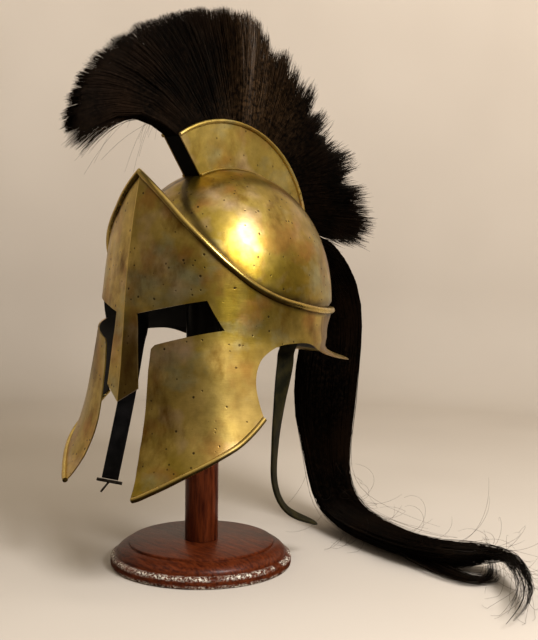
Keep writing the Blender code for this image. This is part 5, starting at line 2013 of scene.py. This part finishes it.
def turned_base():
    work = bmesh.new()
    vertices = [work.verts.new((radius * STAND_RADIUS, 0.0, height * STAND_BASE_HEIGHT))
                for radius, height in BASE_PROFILE]
    edges = [work.edges.new(pair) for pair in zip(vertices, vertices[1:])]
    bmesh.ops.spin(work, geom=vertices + edges, axis=(0, 0, 1), cent=(0, 0, 0),
                   angle=2.0 * math.pi, steps=180, use_merge=True)
    bmesh.ops.remove_doubles(work, verts=work.verts, dist=1e-5)
    for vertex in work.verts:
        radius = Vector(vertex.co[:2]).length
        if radius > CHIP_RADIUS * STAND_RADIUS:
            chip = max(0.0, noise.noise(vertex.co * CHIPS_PER_METRE) - CHIP_LIMIT) * CHIP_DEPTH
            vertex.co.x *= 1.0 - chip / radius
            vertex.co.y *= 1.0 - chip / radius
    bmesh.ops.recalc_face_normals(work, faces=work.faces)
    return work


def turned_post(low, high):
    work = bmesh.new()
    bmesh.ops.create_cone(work, cap_ends=True, segments=72, radius1=POST_RADIUS,
                          radius2=POST_RADIUS, depth=high - low)
    bmesh.ops.translate(work, verts=work.verts, vec=(0.0, 0.0, 0.5 * (low + high)))
    rims = [edge for edge in work.edges
            if edge.is_manifold and edge.calc_face_angle() > POST_EDGE]
    bmesh.ops.bevel(work, geom=rims, offset=POST_BEVEL, segments=2, profile=0.5,
                    affect="EDGES", material=-1)
    return work


print("base", 2.0 * STAND_RADIUS, "m across, post", 2.0 * POST_RADIUS, "m")

# %% [markdown]
# The wood has a dark red varnish over straight grain. On the rim of the foot it is chipped down
# to the pale ground under the varnish: flecks of fine noise, only near the rim's radius and
# height, and only in patches. The post's top is painted black, as painted shade, where it stands
# inside the dark dome.

# %% Varnish
VARNISH_DARK = (0.026, 0.0038, 0.0010, 1.0)
VARNISH_RED = (0.105, 0.021, 0.0050, 1.0)
PORE_DARK = (0.012, 0.0022, 0.0010, 1.0)
CHIPPED_PALE = (0.74, 0.68, 0.56, 1.0)
# painted shade: the heights over which the post turns black inside the dome
PAINTED_SHADE_FROM = 0.190
PAINTED_SHADE_FULL = 0.225
#   shares of the base's radius and height: where the chips start and are full
CHIPS_OUTWARD = (0.940, 0.970)
CHIPS_LEVEL = 0.215
CHIPS_BAND = (0.06, 0.19)
GRAIN_DEPTH = 0.00025


def varnished_wood(name, stretch, chipped):
    made, tree, shader = new_material(name)
    grain = clouds(tree, object_place(tree, stretch), 60.0, 6.0, 0.6)
    pores = clouds(tree, object_place(tree, stretch), 420.0, 3.0, 0.6)
    colour = blend_colours(tree, spread(tree, grain, 0.35, 0.68), VARNISH_DARK, VARNISH_RED)
    colour = blend_colours(tree, spread(tree, pores, 0.56, 0.72, 0.0, 0.6), colour, PORE_DARK)
    roughness = spread(tree, pores, 0.3, 0.7, 0.28, 0.42)
    up = add(tree, "ShaderNodeSeparateXYZ", {0: object_place(tree)}).outputs["Z"]
    # painted shade: black towards the post's top, inside the dome
    colour = blend_colours(tree, spread(tree, up, PAINTED_SHADE_FROM, PAINTED_SHADE_FULL), colour,
                           INSIDE_BLACK)
    height = grain
    if chipped:
        place = object_place(tree)
        apart = add(tree, "ShaderNodeSeparateXYZ", {0: place})
        flat = add(tree, "ShaderNodeVectorMath", {0: place, 1: (1.0, 1.0, 0.0)},
                   operation="MULTIPLY")
        radius = add(tree, "ShaderNodeVectorMath", {0: flat.outputs[0]}, operation="LENGTH")
        near_rim = spread(tree, radius.outputs["Value"], CHIPS_OUTWARD[0] * STAND_RADIUS,
                          CHIPS_OUTWARD[1] * STAND_RADIUS)
        from_middle = add(tree, "ShaderNodeMath", {0: apart.outputs["Z"],
                                                   1: CHIPS_LEVEL * STAND_BASE_HEIGHT},
                          operation="SUBTRACT").outputs[0]
        off_middle = add(tree, "ShaderNodeMath", {0: from_middle}, operation="ABSOLUTE")
        low = spread(tree, off_middle.outputs[0], CHIPS_BAND[0] * STAND_BASE_HEIGHT,
                     CHIPS_BAND[1] * STAND_BASE_HEIGHT)
        flecks = spread(tree, clouds(tree, place, 480.0, 4.0, 0.85), 0.505, 0.540)
        patchy = spread(tree, clouds(tree, place, 48.0, 2.0), 0.38, 0.50)
        chips = combine(tree, combine(tree, near_rim, low), combine(tree, flecks, patchy))
        colour = blend_colours(tree, chips, colour, CHIPPED_PALE)
        roughness = add(tree, "ShaderNodeMix", {0: chips, 2: roughness, 3: 0.8}).outputs[0]
        height = add(tree, "ShaderNodeMath", {0: grain, 1: chips},
                     operation="SUBTRACT").outputs[0]
    tree.links.new(colour, shader.inputs["Base Color"])
    tree.links.new(roughness, shader.inputs["Roughness"])
    tree.links.new(bump(tree, height, GRAIN_DEPTH), shader.inputs["Normal"])
    shader.inputs["Coat Weight"].default_value = 0.03
    shader.inputs["Coat Roughness"].default_value = 0.12
    shader.inputs["Specular IOR Level"].default_value = 0.12
    return made


base = piece_from(turned_base(), "turned_base", varnished_wood("base_varnish",
                                                               (1.0, 6.0, 6.0), True))
post_low, post_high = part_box("stand_post")
post = piece_from(turned_post(post_low.z, post_high.z), "turned_post",
                  varnished_wood("post_varnish", (5.0, 5.0, 0.45), False))
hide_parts("stand_base")
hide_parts("stand_post")
dress("stand_cap", varnished_wood("cap_varnish", (1.0, 5.0, 5.0), False))
print("stand:", len(base.data.polygons), "and", len(post.data.polygons), "faces")
